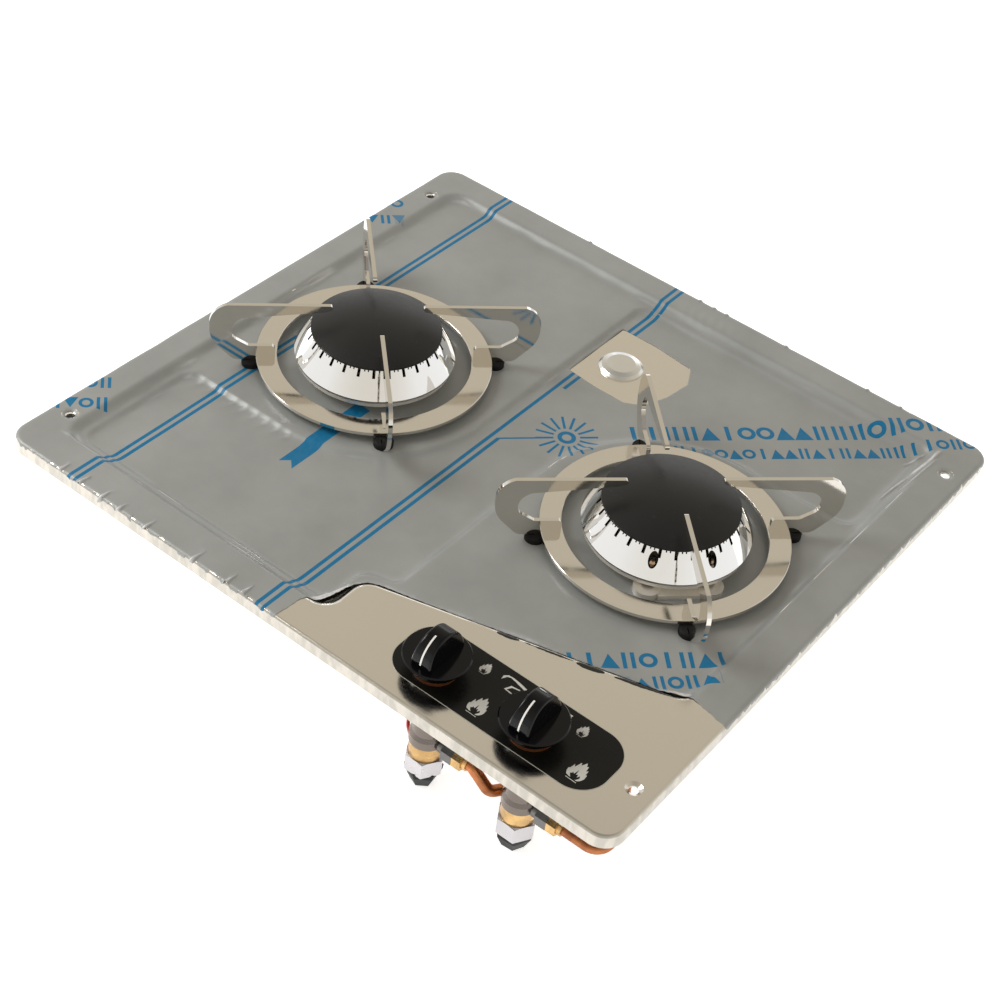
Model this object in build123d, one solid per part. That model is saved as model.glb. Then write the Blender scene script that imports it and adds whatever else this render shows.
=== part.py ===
from build123d import *
import math
import os

# Built-in two-burner gas hob.
# Origin: centre of the top plate, on the worktop plane under its folded rim.
# X runs to the right along the control side, Y to the back, Z up.

# ---- driving dimensions, mm ----
PLATE_W = 500.0
PLATE_D = 470.0
PLATE_T = 1.0
RIM_H = 10.0
CORNER_R = 15.0
FOLD_R = 2.5
LEDGE_DROP = 5.0
PAN_DROP = 3.0
PRESS_R = 4.0
FILM_T = 0.1
LABEL_T = 0.15
SCREW_X = 235.5
SCREW_Y = 191.5
SCREW_HOLE_R = 3.2
DIMPLE_R = 5.6
DIMPLE_DEEP = 1.7

BURNER_Y = 1.0
BURNERS = {1: (-130.0, 135.0), 2: (125.0, -45.0)}
SERVICE_SPREAD = 23.0
SERVICE_R = 50.0
PLATFORM_R = {1: 96.0, 2: 98.0}
BURNER_HOLE_R = 38.0

CROWN_R = 57.5
CROWN_TOP_R = 45.8
CROWN_Z = 17.0
CROWN_TOP_Z = 36.2
SLOT_COUNT = 28
PROBE_HOLE_R = 3.2
CUP_FLOOR_Z = 11.5
CAP_R = 46.5
CAP_RISE = 9.4

RING_R = 84.5
RING_BORE_R = 69.5
RING_Z = 10.0
RING_T = 3.0
LEG_T = 3.0
LEG_TOP_Z = 57.4
FOOT_R = 7.0
FOOT_AT_R = 87.5
FOOT_STEM_R = 3.9

TAP_Y = -199.5
TAPS = {1: 92.3, 2: 166.5}
SPINDLE_R = 3.5
SPINDLE_FLAT = 2.4
RUN_CLEAR = 0.05
KNOB_R = 21.9
KNOB_SKIRT_Z = 24.5
GRIP_HALF_W = 8.2
GRIP_HALF_L = 16.8
GRIP_RISE = 18.0
TAP_FLANGE_Z = -53.5
TAP_FLANGE_R = 11.9
PORT_Z = -52.0
OUTLET_Z = -30.0
PIPE_R = 4.0
PIPE_BORE_R = 3.2
FEED_R = 3.0
FEED_BORE_R = 2.2

LABEL_X = 142.0
LABEL_Y = -192.8
LABEL_W = 158.0
LABEL_D = 51.6
LABEL_CORNER_R = 20.0
PLUG_X = -3.0
PLUG_Y = 131.6
PLUG_HOLE_R = 12.0

SUPPLY_X = 205.0
INLET_Y = 60.0
LINK_BACK_Y = TAP_Y + 34.0
LINK_END_X = TAPS[2] - 6.5
BRACKET_Z = -10.5
NECK_TOP = -0.5
ROTOR_TOP = -18.0
SPINDLE_TOP = 32.0
FEED_Z = -27.0
KNOB_LOW_Z = 14.6
MAGNET_Z = (TAP_FLANGE_Z, -65.5, -79.0, -93.0)
MAGNET_NUT_AF = 23.6
MAGNET_CAP_TURN = {1: -22.0, 2: 5.0}
CUP_SCREW_AT_R = 44.0
THERMO_R = 2.3
IGNITER_R = 2.8
INJECTOR_R = 4.0
WIRE_R = 1.2
SPARK_BOX_AT = (-3.0, 50.0)
LEAD_R = 1.0

RIM_TOP = RIM_H
PLATFORM_Z = RIM_TOP - LEDGE_DROP
PAN_Z = PLATFORM_Z - PAN_DROP
CUP_Z = PLATFORM_Z + FILM_T
UNDER_RIM = RIM_TOP - PLATE_T
UNDER_PLATFORM = PLATFORM_Z - PLATE_T
UNDER_PAN = PAN_Z - PLATE_T


def polar(x, y, radius, angle):
    a = math.radians(angle)
    return (x + radius * math.cos(a), y + radius * math.sin(a))


def burner_centre(n):
    return (BURNERS[n][0], BURNER_Y)


def service_points(n):
    """Places of the thermocouple and of the spark electrode beside burner n."""
    x, y = burner_centre(n)
    side = BURNERS[n][1]
    return (
        polar(x, y, SERVICE_R, side - SERVICE_SPREAD),
        polar(x, y, SERVICE_R, side + SERVICE_SPREAD),
    )


def disc(x, y, radius, z0, z1):
    return Pos(x, y, (z0 + z1) / 2) * Cylinder(radius, z1 - z0)


def ring(x, y, outer, inner, z0, z1):
    return disc(x, y, outer, z0, z1) - disc(x, y, inner, z0 - 1, z1 + 1)


def hexagon(x, y, across_flats, z0, z1):
    sketch = RegularPolygon(across_flats / math.sqrt(3), 6)
    return Pos(x, y, z0) * extrude(sketch, z1 - z0)


def turned(points):
    """Solid of revolution about Z from an (r, z) outline."""
    outline = make_face(Polyline(*[(r, 0, z) for r, z in points], close=True))
    return revolve(outline, Axis.Z)


def rod(start, end, radius):
    """Round bar between two points."""
    span = Vector(*end) - Vector(*start)
    face = Plane(origin=start, z_dir=span) * Circle(radius)
    return extrude(face, span.length, dir=span.normalized())


def bent_rod(points, radius, bend, bore=0.0):
    """Round bar or tube along straight runs joined by bends."""
    path = FilletPolyline(*points, radius=bend)
    start = Plane(origin=points[0], z_dir=Vector(*points[1]) - Vector(*points[0]))
    section = Circle(radius)
    if bore:
        section = section - Circle(bore)
    return sweep(start * section, path=path)


# ---- pressed top plate ----


def ledge_outline(grow):
    """Edge of the first pressing, leaving the raised control panel out."""
    points = [
        (-227, -208.5),
        (12, -208.5),
        (12, -173),
        (222, -113.5),
        (222, 211.5),
        (-227, 211.5),
    ]
    radii = [16, 14, 12, 14, 16, 16]
    return rounded_face(points, radii, grow)


def pan_outline(grow):
    """Edge of the deeper pan that winds between the two burner platforms."""
    x1, y1 = burner_centre(1)
    x2, y2 = burner_centre(2)
    r1, r2 = PLATFORM_R[1], PLATFORM_R[2]
    points = [
        (-218, -199.5),
        (3, -199.5),
        (3, -163),
        (x2 - r2, -156),
        (x2 - r2, y2 + r2),
        (213, y2 + r2),
        (213, 202.5),
        (x1 + r1, 202.5),
        (x1 + r1, y1 - r1),
        (-218, y1 - r1),
    ]
    radii = [12, 12, 10, 10, r2, 12, 12, 12, r1, 12]
    return rounded_face(points, radii, grow)


def rounded_face(points, radii, grow):
    """Polygon with its own radius at each corner, offset outward by grow."""
    face = make_face(Polyline(*points, close=True))
    for (x, y), radius in zip(points, radii):
        corner = face.vertices().sort_by_distance((x, y, 0))[0]
        face = fillet(corner, radius)
    if grow:
        face = offset(face, grow, kind=Kind.TANGENT)
    return face


def pressed_block(skin, base):
    """Solid between z = base and the plate's upper surface moved outward by skin."""
    slope = skin * math.tan(math.radians(22.5))
    outline = RectangleRounded(PLATE_W + 2 * skin, PLATE_D + 2 * skin, CORNER_R + skin)
    block = Pos(0, 0, base) * extrude(outline, RIM_TOP + skin - base)
    ledge = Pos(0, 0, RIM_TOP + skin) * ledge_outline(-slope)
    pan = Pos(0, 0, PLATFORM_Z + skin) * pan_outline(-slope)
    block -= extrude(ledge, -LEDGE_DROP, taper=45)
    block -= extrude(pan, -PAN_DROP, taper=45)
    convex = PRESS_R + skin
    concave = PRESS_R - skin
    block = fillet(level_face(block, PAN_Z + skin).outer_wire().edges(), concave)
    block = fillet(level_face(block, PLATFORM_Z + skin).inner_wires()[0].edges(), convex)
    block = fillet(level_face(block, PLATFORM_Z + skin).outer_wire().edges(), concave)
    block = fillet(level_face(block, RIM_TOP + skin).inner_wires()[0].edges(), convex)
    return fillet(level_face(block, RIM_TOP + skin).outer_wire().edges(), FOLD_R + skin)


def level_face(solid, z):
    """The horizontal face at height z."""
    faces = [f for f in solid.faces() if abs(f.center().Z - z) < 1e-3]
    return max(faces, key=lambda f: f.area)


def foot_places():
    """Centre of every rubber foot, four around each burner."""
    places = []
    for n in BURNERS:
        x, y = burner_centre(n)
        for k in range(4):
            places.append(polar(x, y, FOOT_AT_R, 45 + 90 * k))
    return places


def cup_screw_places(n):
    """Three fixing screws of burner cup n, clear of its service side."""
    x, y = burner_centre(n)
    side = BURNERS[n][1]
    return [polar(x, y, CUP_SCREW_AT_R, side + turn) for turn in (90, 180, 270)]


def skin_openings(margin):
    """Everything that passes down through the sheet, each opening widened by margin."""
    tools = []
    for n in BURNERS:
        x, y = burner_centre(n)
        tools.append(disc(x, y, BURNER_HOLE_R + margin, -30, 30))
        for sx, sy in service_points(n):
            tools.append(disc(sx, sy, 4.6 + margin, -30, 30))
        for sx, sy in cup_screw_places(n):
            tools.append(disc(sx, sy, 2.2 + margin, -30, 30))
    for x, y in foot_places():
        tools.append(disc(x, y, FOOT_STEM_R + margin, -30, 30))
    for x in TAPS.values():
        tools.append(disc(x, TAP_Y, 5.5 + margin, -30, 30))
    tools.append(disc(PLUG_X, PLUG_Y, PLUG_HOLE_R + margin, -30, 30))
    return tools


def screw_places():
    return [(x, y) for x in (-SCREW_X, SCREW_X) for y in (-SCREW_Y, SCREW_Y)]


def hob_plate():
    """Pressed sheet with a dimpled hole for a countersunk screw in each corner."""
    plate = pressed_block(0, 0) - pressed_block(-PLATE_T, -2)
    for x, y in screw_places():
        sink = Cone(SCREW_HOLE_R, DIMPLE_R, DIMPLE_DEEP)
        swell = Cone(SCREW_HOLE_R + 1.2, DIMPLE_R + 1.2, DIMPLE_DEEP)
        plate += Pos(x, y, UNDER_RIM - DIMPLE_DEEP / 2) * swell
        plate -= Pos(x, y, RIM_TOP - DIMPLE_DEEP / 2) * sink
        plate -= disc(x, y, SCREW_HOLE_R, 0, 20)
    return plate - skin_openings(0)


def film_region():
    """Outline of the film: the top face inside the fold, less the parts cut away."""
    whole = RectangleRounded(PLATE_W - 3, PLATE_D - 3, CORNER_R - 1.5)
    panel = [
        (-10, -240),
        (-6, -208),
        (4, -203),
        (7, -196),
        (7, -176),
        (14, -167),
        (218, -109.5),
        (226, -110.5),
        (255, -115),
        (255, -240),
    ]
    patch = [
        (-28, 170),
        (35.5, 167),
        (44, 150.5),
        (41.5, 127),
        (34, 107),
        (22, 99.5),
        (-28, 101.5),
    ]
    region = whole - make_face(Polyline(*panel, close=True))
    return region - make_face(Polyline(*patch, close=True))


def protective_film():
    film = pressed_block(FILM_T, 0) - pressed_block(0, -2)
    film &= extrude(film_region(), 20)
    for x, y in screw_places():
        film -= disc(x, y, DIMPLE_R + 0.2, 0, 20)
    return film - skin_openings(0.3)


def rim_seal():
    """Foam strip glued under the folded rim, all round."""
    outer = RectangleRounded(PLATE_W - 5.4, PLATE_D - 5.4, CORNER_R - 3)
    inner = RectangleRounded(PLATE_W - 20, PLATE_D - 20, CORNER_R - 8)
    strip = extrude(outer - inner, UNDER_RIM)
    return strip - [disc(x, y, DIMPLE_R + 1.6, -1, 20) for x, y in screw_places()]


# ---- control panel ----


def panel_label():
    sketch = Pos(LABEL_X, LABEL_Y) * RectangleRounded(LABEL_W, LABEL_D, LABEL_CORNER_R)
    label = Pos(0, 0, RIM_TOP) * extrude(sketch, LABEL_T)
    for x in TAPS.values():
        label -= disc(x, TAP_Y, 5.5, 0, 20)
    return label


def knob_seals():
    z0 = RIM_TOP + LABEL_T
    return [ring(x, TAP_Y, 14.4, 8.0, z0, z0 + 3.7) for x in TAPS.values()]


def hole_plug():
    """Snap-in cover for an unused opening: domed cap, barrel and catch ring."""
    z0 = PAN_Z
    outline = [
        (0, z0 + 3.6),
        (10.6, z0 + 3.6),
        (14.6, z0 + 2.6),
        (16.6, z0 + 0.9),
        (16.6, z0),
        (11.7, z0),
        (11.7, z0 - 1.1),
        (12.6, z0 - 2.6),
        (11.2, z0 - 7),
        (10.4, z0 - 7),
        (10.9, z0 - 1.0),
        (10.9, z0 + 0.8),
        (9.8, z0 + 2.4),
        (0, z0 + 2.4),
    ]
    plug = turned(outline)
    for k in range(3):
        slit = Rot(0, 0, 60 * k) * Box(40, 2.0, 12)
        plug -= Pos(0, 0, z0 - 7.2) * slit
    return Pos(PLUG_X, PLUG_Y, 0) * plug


# ---- burners ----


def burner_cup(n):
    """Cast cup: flange on the plate, crown seat, venturi and ears for the two probes."""
    x, y = burner_centre(n)
    cup = turned(
        [
            (5, -18),
            (36, -18),
            (36, CUP_Z),
            (48, CUP_Z),
            (56, 12.4),
            (56, 15),
            (54.6, 15),
            (54.6, CROWN_Z),
            (52.8, CROWN_Z),
            (52.8, CROWN_Z + 1.8),
            (50, CROWN_Z + 1.8),
            (50, CUP_FLOOR_Z),
            (12, CUP_FLOOR_Z),
            (12, 24),
            (9, 24),
            (9, -6),
            (12, -6),
            (12, 8),
            (33, 8),
            (33, -14),
            (5, -14),
        ]
    )
    for k in range(4):
        cup -= Rot(0, 0, 45 + 90 * k) * Pos(34.5, 0, -8) * Box(8, 22, 6)
    cup = Pos(x, y, 0) * cup
    side = BURNERS[n][1]
    for s in (-1, 1):
        cup += disc(*polar(x, y, 53.5, side + s * SERVICE_SPREAD), 9.2, CUP_Z, 9.5)
    cup += Pos(x, y, 0) * Rot(0, 0, side) * Pos(53, 0, (CUP_Z + 8.5) / 2) * Box(10, 30, 8.5 - CUP_Z)
    thermo, spark = service_points(n)
    cup -= disc(*thermo, 5.2, 9.5, 20) + disc(*spark, 5.2, 9.5, 20)
    cup -= disc(*thermo, THERMO_R + RUN_CLEAR, 0, 20) + disc(*spark, IGNITER_R + RUN_CLEAR, 0, 20)
    for sx, sy in cup_screw_places(n):
        cup -= disc(sx, sy, 2.2, 0, 12)
    return cup


def cup_screws():
    """Pan-head screws holding both cups down."""
    screws = []
    for n in BURNERS:
        for x, y in cup_screw_places(n):
            head = disc(x, y, 3.6, CUP_FLOOR_Z, CUP_FLOOR_Z + 2.3)
            slot = Pos(x, y, CUP_FLOOR_Z + 2.1) * Box(8, 0.9, 1.2)
            screws.append(head + disc(x, y, 1.95, -4, CUP_FLOOR_Z) - slot)
    return screws


def cup_nuts():
    nuts = []
    under = UNDER_PLATFORM
    for n in BURNERS:
        for x, y in cup_screw_places(n):
            nuts.append(hexagon(x, y, 7, under - 3.2, under) - disc(x, y, 2.0, -20, 20))
    return nuts


def injector_holders():
    """Block under each cup that carries the injector and takes the feed pipe."""
    holders = []
    for n in BURNERS:
        x, y = burner_centre(n)
        block = disc(x, y, 12, -36, -18) + rod((x, y, FEED_Z), (x, y - 17, FEED_Z), 6.5)
        block -= disc(x, y, INJECTOR_R, -30, -10)
        block -= rod((x, y, FEED_Z), (x, y - 20, FEED_Z), FEED_R + 0.02)
        holders.append(block)
    return holders


def injectors():
    jets = []
    for n in BURNERS:
        x, y = burner_centre(n)
        body = disc(x, y, INJECTOR_R - 0.02, -23.5, -18) + hexagon(x, y, 8, -18, -13.5)
        body += Pos(x, y, -12) * Cone(3.4, 1.6, 3)
        jets.append(body - disc(x, y, 0.6, -24, -10))
    return jets


def crown(n):
    """Conical flame ring with open slots under the cap and two probe holes."""
    x, y = burner_centre(n)
    shell = turned(
        [
            (52.85, CROWN_Z),
            (CROWN_R, CROWN_Z),
            (CROWN_R, CROWN_Z + 0.9),
            (CROWN_TOP_R, CROWN_TOP_Z),
            (41.2, CROWN_TOP_Z),
            (41.2, CROWN_TOP_Z - 1.5),
            (44.3, CROWN_TOP_Z - 1.5),
            (54.6, CROWN_Z + 2.4),
            (52.85, CROWN_Z + 2.4),
        ]
    )
    pitch = 360 / SLOT_COUNT
    for k in range(SLOT_COUNT):
        shell -= Rot(0, 0, k * pitch) * Pos(47, 0, CROWN_TOP_Z - 1.2) * Box(14, 2.1, 7.4)
        for s in (-1, 1):
            small = Rot(0, 0, (k + 0.5) * pitch + s * pitch / 8)
            shell -= small * Pos(47, 0, CROWN_TOP_Z) * Box(14, 0.9, 2.4)
    shell = Pos(x, y, 0) * Rot(0, 0, BURNERS[n][1] + pitch / 2) * shell
    for sx, sy in service_points(n):
        shell -= disc(sx, sy, PROBE_HOLE_R, 0, 60)
    return shell


def cap(n):
    """Domed lid with a turned-down edge and a locating lip inside the crown."""
    x, y = burner_centre(n)
    z0 = CROWN_TOP_Z
    rim = (CAP_R, z0 + 1.9)
    peak = (0, z0 + 0.5 + CAP_RISE)
    outline = ThreePointArc(peak, (CAP_R * 0.55, z0 + 0.5 + CAP_RISE * 0.74), rim)
    outline += Polyline(
        rim,
        (CAP_R, z0 + 0.4),
        (CAP_R - 0.4, z0),
        (40.7, z0),
        (40.7, z0 - 2.5),
        (39.2, z0 - 2.5),
        (37, z0 + 1.6),
        (0, z0 + 6.6),
        peak,
    )
    lid = revolve(Plane.XZ * make_face(outline), Axis.Z)
    return Pos(x, y, 0) * lid


def thermocouple(n):
    x, y = service_points(n)[0]
    probe = disc(x, y, THERMO_R, -14, 27.5) + Pos(x, y, 28.3) * Cone(THERMO_R, 1.4, 1.6)
    return probe + hexagon(x, y, 10, -3, UNDER_PLATFORM)


def igniter(n):
    """Ceramic sleeve of the spark electrode."""
    x, y = service_points(n)[1]
    sleeve = disc(x, y, IGNITER_R, -14, 20) + Pos(x, y, 22) * Cone(IGNITER_R, 2.0, 4)
    sleeve += disc(x, y, 5.6, -3, UNDER_PLATFORM)
    return sleeve - disc(x, y, 0.8, -15, 30)


def electrode(n):
    x, y = service_points(n)[1]
    return disc(x, y, 0.78, -17, 27) + Pos(x, y, 28) * Cone(1.5, 0.9, 2)


# ---- pan supports ----


def support_ring(n):
    x, y = burner_centre(n)
    flat = ring(x, y, RING_R, RING_BORE_R, RING_Z, RING_Z + RING_T)
    return chamfer(flat.edges(), 0.3)


def leg_profile():
    """Side view of one leg in the (radius, height) plane."""
    z0 = RING_Z
    z1 = RING_Z + RING_T
    step = RING_R + 0.3
    outline = Polyline((38, 52.2), (33.6, 53.4))
    outline += ThreePointArc((33.6, 53.4), (31.9, 55.5), (33.6, LEG_TOP_Z))
    outline += Line((33.6, LEG_TOP_Z), (105.5, LEG_TOP_Z))
    outline += ThreePointArc((105.5, LEG_TOP_Z), (113.6, 52), (117, 39.8))
    outline += ThreePointArc((117, 39.8), (116, 30), (111.6, 22.2))
    outline += Line((111.6, 22.2), (102.5, 12.4))
    outline += ThreePointArc((102.5, 12.4), (100.2, 10.7), (97.5, z0))
    outline += Polyline((97.5, z0), (step, z0), (step, z1), (71, z1), (71, 18.8))
    outline += ThreePointArc((71, 18.8), (71.9, 21.1), (74.2, 22))
    outline += Line((74.2, 22), (88.4, 22))
    outline += ThreePointArc((88.4, 22), (90.1, 22.3), (91.6, 23.2))
    outline += Line((91.6, 23.2), (98.4, 27.6))
    outline += ThreePointArc((98.4, 27.6), (101.4, 31.2), (102, 36))
    outline += ThreePointArc((102, 36), (98.4, 43.7), (90.5, 46.8))
    outline += Line((90.5, 46.8), (38, 52.2))
    return make_face(outline)


def support_legs(n):
    """Four hooked arms standing on the ring; each has a tab that drops into its foot."""
    x, y = burner_centre(n)
    arm = extrude(Plane.XZ * leg_profile(), LEG_T / 2, both=True)
    arm += Pos(FOOT_AT_R + 3.2, 0, RING_Z - 1.0) * Box(3.0, LEG_T, 2.4)
    return [Pos(x, y, 0) * Rot(0, 0, 45 + 90 * k) * arm for k in range(4)]


def support_feet():
    """Rubber feet snapped into the plate, each with a slot for the leg's tab."""
    feet = []
    top = RING_Z
    base = CUP_Z
    under = UNDER_PLATFORM
    for i, (x, y) in enumerate(foot_places()):
        foot = turned(
            [
                (0, top),
                (FOOT_R - 1.0, top),
                (FOOT_R, top - 1.2),
                (FOOT_R, base),
                (FOOT_STEM_R - 0.1, base),
                (FOOT_STEM_R - 0.1, under),
                (FOOT_STEM_R + 0.9, under),
                (FOOT_STEM_R - 1.2, under - 4),
                (0, under - 4),
            ]
        )
        foot -= Rot(0, 0, 45 + 90 * (i % 4)) * Pos(2.7, 0, top) * Box(5.4, LEG_T + 0.7, 5.0)
        feet.append(Pos(x, y, 0) * foot)
    return feet


# ---- taps ----


def tap_bracket():
    """Channel hung under the control panel that both taps bolt to."""
    under = UNDER_RIM
    x0, x1 = TAPS[1] - 34, TAPS[2] + 34
    middle = (x0 + x1) / 2
    base = Pos(middle, TAP_Y, BRACKET_Z + 0.75) * Box(x1 - x0, 34, 1.5)
    for x, s in ((x0, -1), (x1, 1)):
        wall = Pos(x - 0.75 * s, TAP_Y, (BRACKET_Z + under) / 2) * Box(1.5, 34, under - BRACKET_Z)
        toe = Pos(x + 4 * s, TAP_Y, under - 0.75) * Box(9.5, 34, 1.5)
        base += wall + toe
    for x in TAPS.values():
        base -= disc(x, TAP_Y, 8.2, -40, 0)
        for s in (-1, 1):
            base -= disc(x + 13 * s, TAP_Y, 2.2, -40, 0)
    return base


def tap_bodies():
    """Aluminium valve bodies with the magnet flange below and gas ports."""
    bodies = []
    top = BRACKET_Z - 3.0
    for x in TAPS.values():
        body = turned(
            [
                (0, -49),
                (0, -46),
                (6.55, -44),
                (6.55, top),
                (8.6, top),
                (9.4, top - 8),
                (10.2, -44),
                (TAP_FLANGE_R, -47),
                (TAP_FLANGE_R, TAP_FLANGE_Z),
                (9.0, TAP_FLANGE_Z),
                (9.0, -50.5),
                (3, -49),
            ]
        )
        body = Pos(x, TAP_Y, 0) * body
        body += Pos(x, TAP_Y, top - 1.5) * Box(35, 15, 3) - disc(x, TAP_Y, 7.5, -60, 0)
        body += rod((x, TAP_Y + 7.5, OUTLET_Z), (x, TAP_Y + 15, OUTLET_Z), 5.5)
        body -= rod((x, TAP_Y + 5, OUTLET_Z), (x, TAP_Y + 16, OUTLET_Z), FEED_R + 0.02)
        body -= disc(x, TAP_Y, 6.55, -44, top + 1)
        for s in (-1, 1):
            body -= disc(x + 13 * s, TAP_Y, 2.0, top - 5, top + 1)
        bodies.append(body)
    return bodies


def tap_glands():
    """Flanged neck over each tap that guides the spindle and holds its spring."""
    glands = []
    z0 = BRACKET_Z - 3.0
    for x in TAPS.values():
        neck = turned(
            [
                (SPINDLE_R + RUN_CLEAR, NECK_TOP),
                (7.4, NECK_TOP),
                (7.4, z0 + 3),
                (10, z0 + 3),
                (10, z0),
                (4.9, z0),
                (4.9, NECK_TOP - 1.5),
                (SPINDLE_R + RUN_CLEAR, NECK_TOP - 1.5),
            ]
        )
        neck = Pos(x, TAP_Y, 0) * neck
        wings = Pos(x, TAP_Y, z0 + 1.5) * Box(35, 15, 3) - disc(x, TAP_Y, 9, -60, 20)
        for s in (-1, 1):
            wings -= disc(x + 13 * s, TAP_Y, 2.2, -60, 20)
        glands.append(neck + wings)
    return glands


def tap_screws():
    screws = []
    for x in TAPS.values():
        for s in (-1, 1):
            sx = x + 13 * s
            head = hexagon(sx, TAP_Y, 6, BRACKET_Z + 1.5, BRACKET_Z + 4.5)
            screws.append(head + disc(sx, TAP_Y, 1.95, BRACKET_Z - 7.5, BRACKET_Z + 1.5))
    return screws


def spindle_section(radius, flat):
    """Round bar with one flat, as a sketch."""
    return Circle(radius) - Pos(radius + flat, 0) * Rectangle(2 * radius, 2 * radius + 1)


def tap_rotor(n):
    """Plug that turns inside the body; its bore is keyed to the spindle."""
    x = TAPS[n]
    plug = disc(0, 0, 6.5, -43.5, ROTOR_TOP)
    key = spindle_section(SPINDLE_R + RUN_CLEAR, SPINDLE_FLAT + RUN_CLEAR)
    plug -= Pos(0, 0, -42) * extrude(key, 60)
    plug -= rod((0, 2.0, OUTLET_Z), (0, 9, OUTLET_Z), 2.0)
    return Pos(x, TAP_Y, 0) * plug


def spindle(n):
    x = TAPS[n]
    shaft = Pos(0, 0, -36) * extrude(spindle_section(SPINDLE_R, SPINDLE_FLAT), 36 + SPINDLE_TOP)
    collar = disc(0, 0, 4.75, NECK_TOP - 3.1, NECK_TOP - 1.6)
    guide = disc(0, 0, SPINDLE_R, NECK_TOP - 1.6, NECK_TOP + 5)
    return Pos(x, TAP_Y, 0) * (shaft + collar + guide)


def tap_spring(n):
    """Return spring between the plug and the spindle's collar."""
    wire = 0.45
    low = ROTOR_TOP + wire
    high = NECK_TOP - 3.1 - wire
    coil = Helix(pitch=(high - low) / 4, height=high - low, radius=4.2)
    section = Plane(origin=coil @ 0, z_dir=coil % 0) * Circle(wire)
    return Pos(TAPS[n], TAP_Y, low) * sweep(section, path=coil, is_frenet=True)


def magnet_rings():
    """Brass sleeves of the flame-failure magnets."""
    z0, z1 = MAGNET_Z[1], TAP_FLANGE_Z
    return [disc(x, TAP_Y, 11.2, z0, z1) + disc(x, TAP_Y, 8.9, z1, z1 + 2.5) for x in TAPS.values()]


def magnet_nuts():
    z0, z1 = MAGNET_Z[2], MAGNET_Z[1]
    nuts = []
    for x in TAPS.values():
        shoulder = hexagon(x, TAP_Y, MAGNET_NUT_AF, z1 - 3.2, z1)
        shoulder &= Pos(x, TAP_Y, z1 - 1.6) * Cone(MAGNET_NUT_AF * 0.8, MAGNET_NUT_AF / 2, 3.2)
        nuts.append(shoulder + hexagon(x, TAP_Y, MAGNET_NUT_AF, z0, z1 - 3.2))
    return nuts


def magnet_caps():
    z0, z1 = MAGNET_Z[3], MAGNET_Z[2]
    caps = []
    for n, x in TAPS.items():
        wide = Pos(0, 0, z1) * RegularPolygon(12.8, 6)
        waist = Pos(0, 0, z1 - 4) * RegularPolygon(12.3, 6)
        narrow = Pos(0, 0, z0) * RegularPolygon(8.2, 6)
        turned_cap = Rot(0, 0, MAGNET_CAP_TURN[n]) * (loft([wide, waist]) + loft([waist, narrow]))
        caps.append(Pos(x, TAP_Y, 0) * turned_cap)
    return caps


def inlet_unions():
    """Hexagonal adaptors on the right side of each tap."""
    unions = []
    for x in TAPS.values():
        stub = rod((x + 11.3, TAP_Y, PORT_Z), (x + 15.5, TAP_Y, PORT_Z), 4.6)
        blank = Plane(origin=(x + 15.5, TAP_Y, PORT_Z), z_dir=(1, 0, 0)) * RegularPolygon(7.4, 6)
        unions.append(stub + extrude(blank, 8.5))
    return [u - disc(x, TAP_Y, TAP_FLANGE_R, -80, -40) for u, x in zip(unions, TAPS.values())]


def pipe_nuts():
    """Brass compression nuts at every pipe end."""
    ends = [((x + 24.0, TAP_Y, PORT_Z), (1, 0, 0), PIPE_R) for x in TAPS.values()]
    ends.append(((LINK_END_X, LINK_BACK_Y, PORT_Z), (-1, 0, 0), PIPE_R))
    ends.append(((SUPPLY_X, INLET_Y, PORT_Z), (0, -1, 0), PIPE_R))
    ends += [((x, TAP_Y + 15, OUTLET_Z), (0, 1, 0), FEED_R) for x in TAPS.values()]
    for x, y in (burner_centre(n) for n in BURNERS):
        ends.append(((x, y - 17, FEED_Z), (0, -1, 0), FEED_R))
    nuts = []
    for origin, way, pipe_r in ends:
        at = Plane(origin=origin, z_dir=way)
        nut = extrude(at * RegularPolygon(7.2, 6), 7) + extrude(at * Circle(5.2), 10)
        nuts.append(nut - extrude(at * Circle(pipe_r + 0.02), 12))
    return nuts


def knob(n):
    """Turned skirt with a raised grip across it, hollow underneath."""
    top = KNOB_SKIRT_Z
    body = turned(
        [
            (0, top),
            (KNOB_R - 0.8, top),
            (KNOB_R, top - 0.9),
            (KNOB_R - 1.2, top - 3.4),
            (16.6, top - 4.8),
            (16.2, KNOB_LOW_Z),
            (15.2, KNOB_LOW_Z),
            (15.2, top - 2.6),
            (6.2, top - 2.6),
            (6.2, KNOB_LOW_Z),
            (0, KNOB_LOW_Z),
        ]
    )
    body += grip()
    body -= pointer_strip()
    bore = spindle_section(SPINDLE_R + 0.03, SPINDLE_FLAT + 0.03)
    body -= Pos(0, 0, KNOB_LOW_Z - 1) * extrude(bore, SPINDLE_TOP + 1.3 - KNOB_LOW_Z)
    return Pos(TAPS[n], TAP_Y, 0) * body


def grip():
    """Half-round ridge across the knob whose flanks lean in towards the top."""
    oval = Plane.YZ * Ellipse(GRIP_HALF_L, GRIP_RISE)
    ridge = extrude(oval, GRIP_HALF_W + 1, both=True) - Pos(0, 0, -30) * Box(80, 80, 60)
    for side in (-1, 1):
        lean = Pos(side * GRIP_HALF_W, 0, 0) * Rot(0, -7 * side, 0)
        ridge -= lean * Pos(side * 10, 0, 0) * Box(20, 80, 80)
    crest = [e for e in ridge.edges() if e.center().Z > 1]
    return Pos(0, 0, KNOB_SKIRT_Z) * fillet(crest, 2.0)


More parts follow.
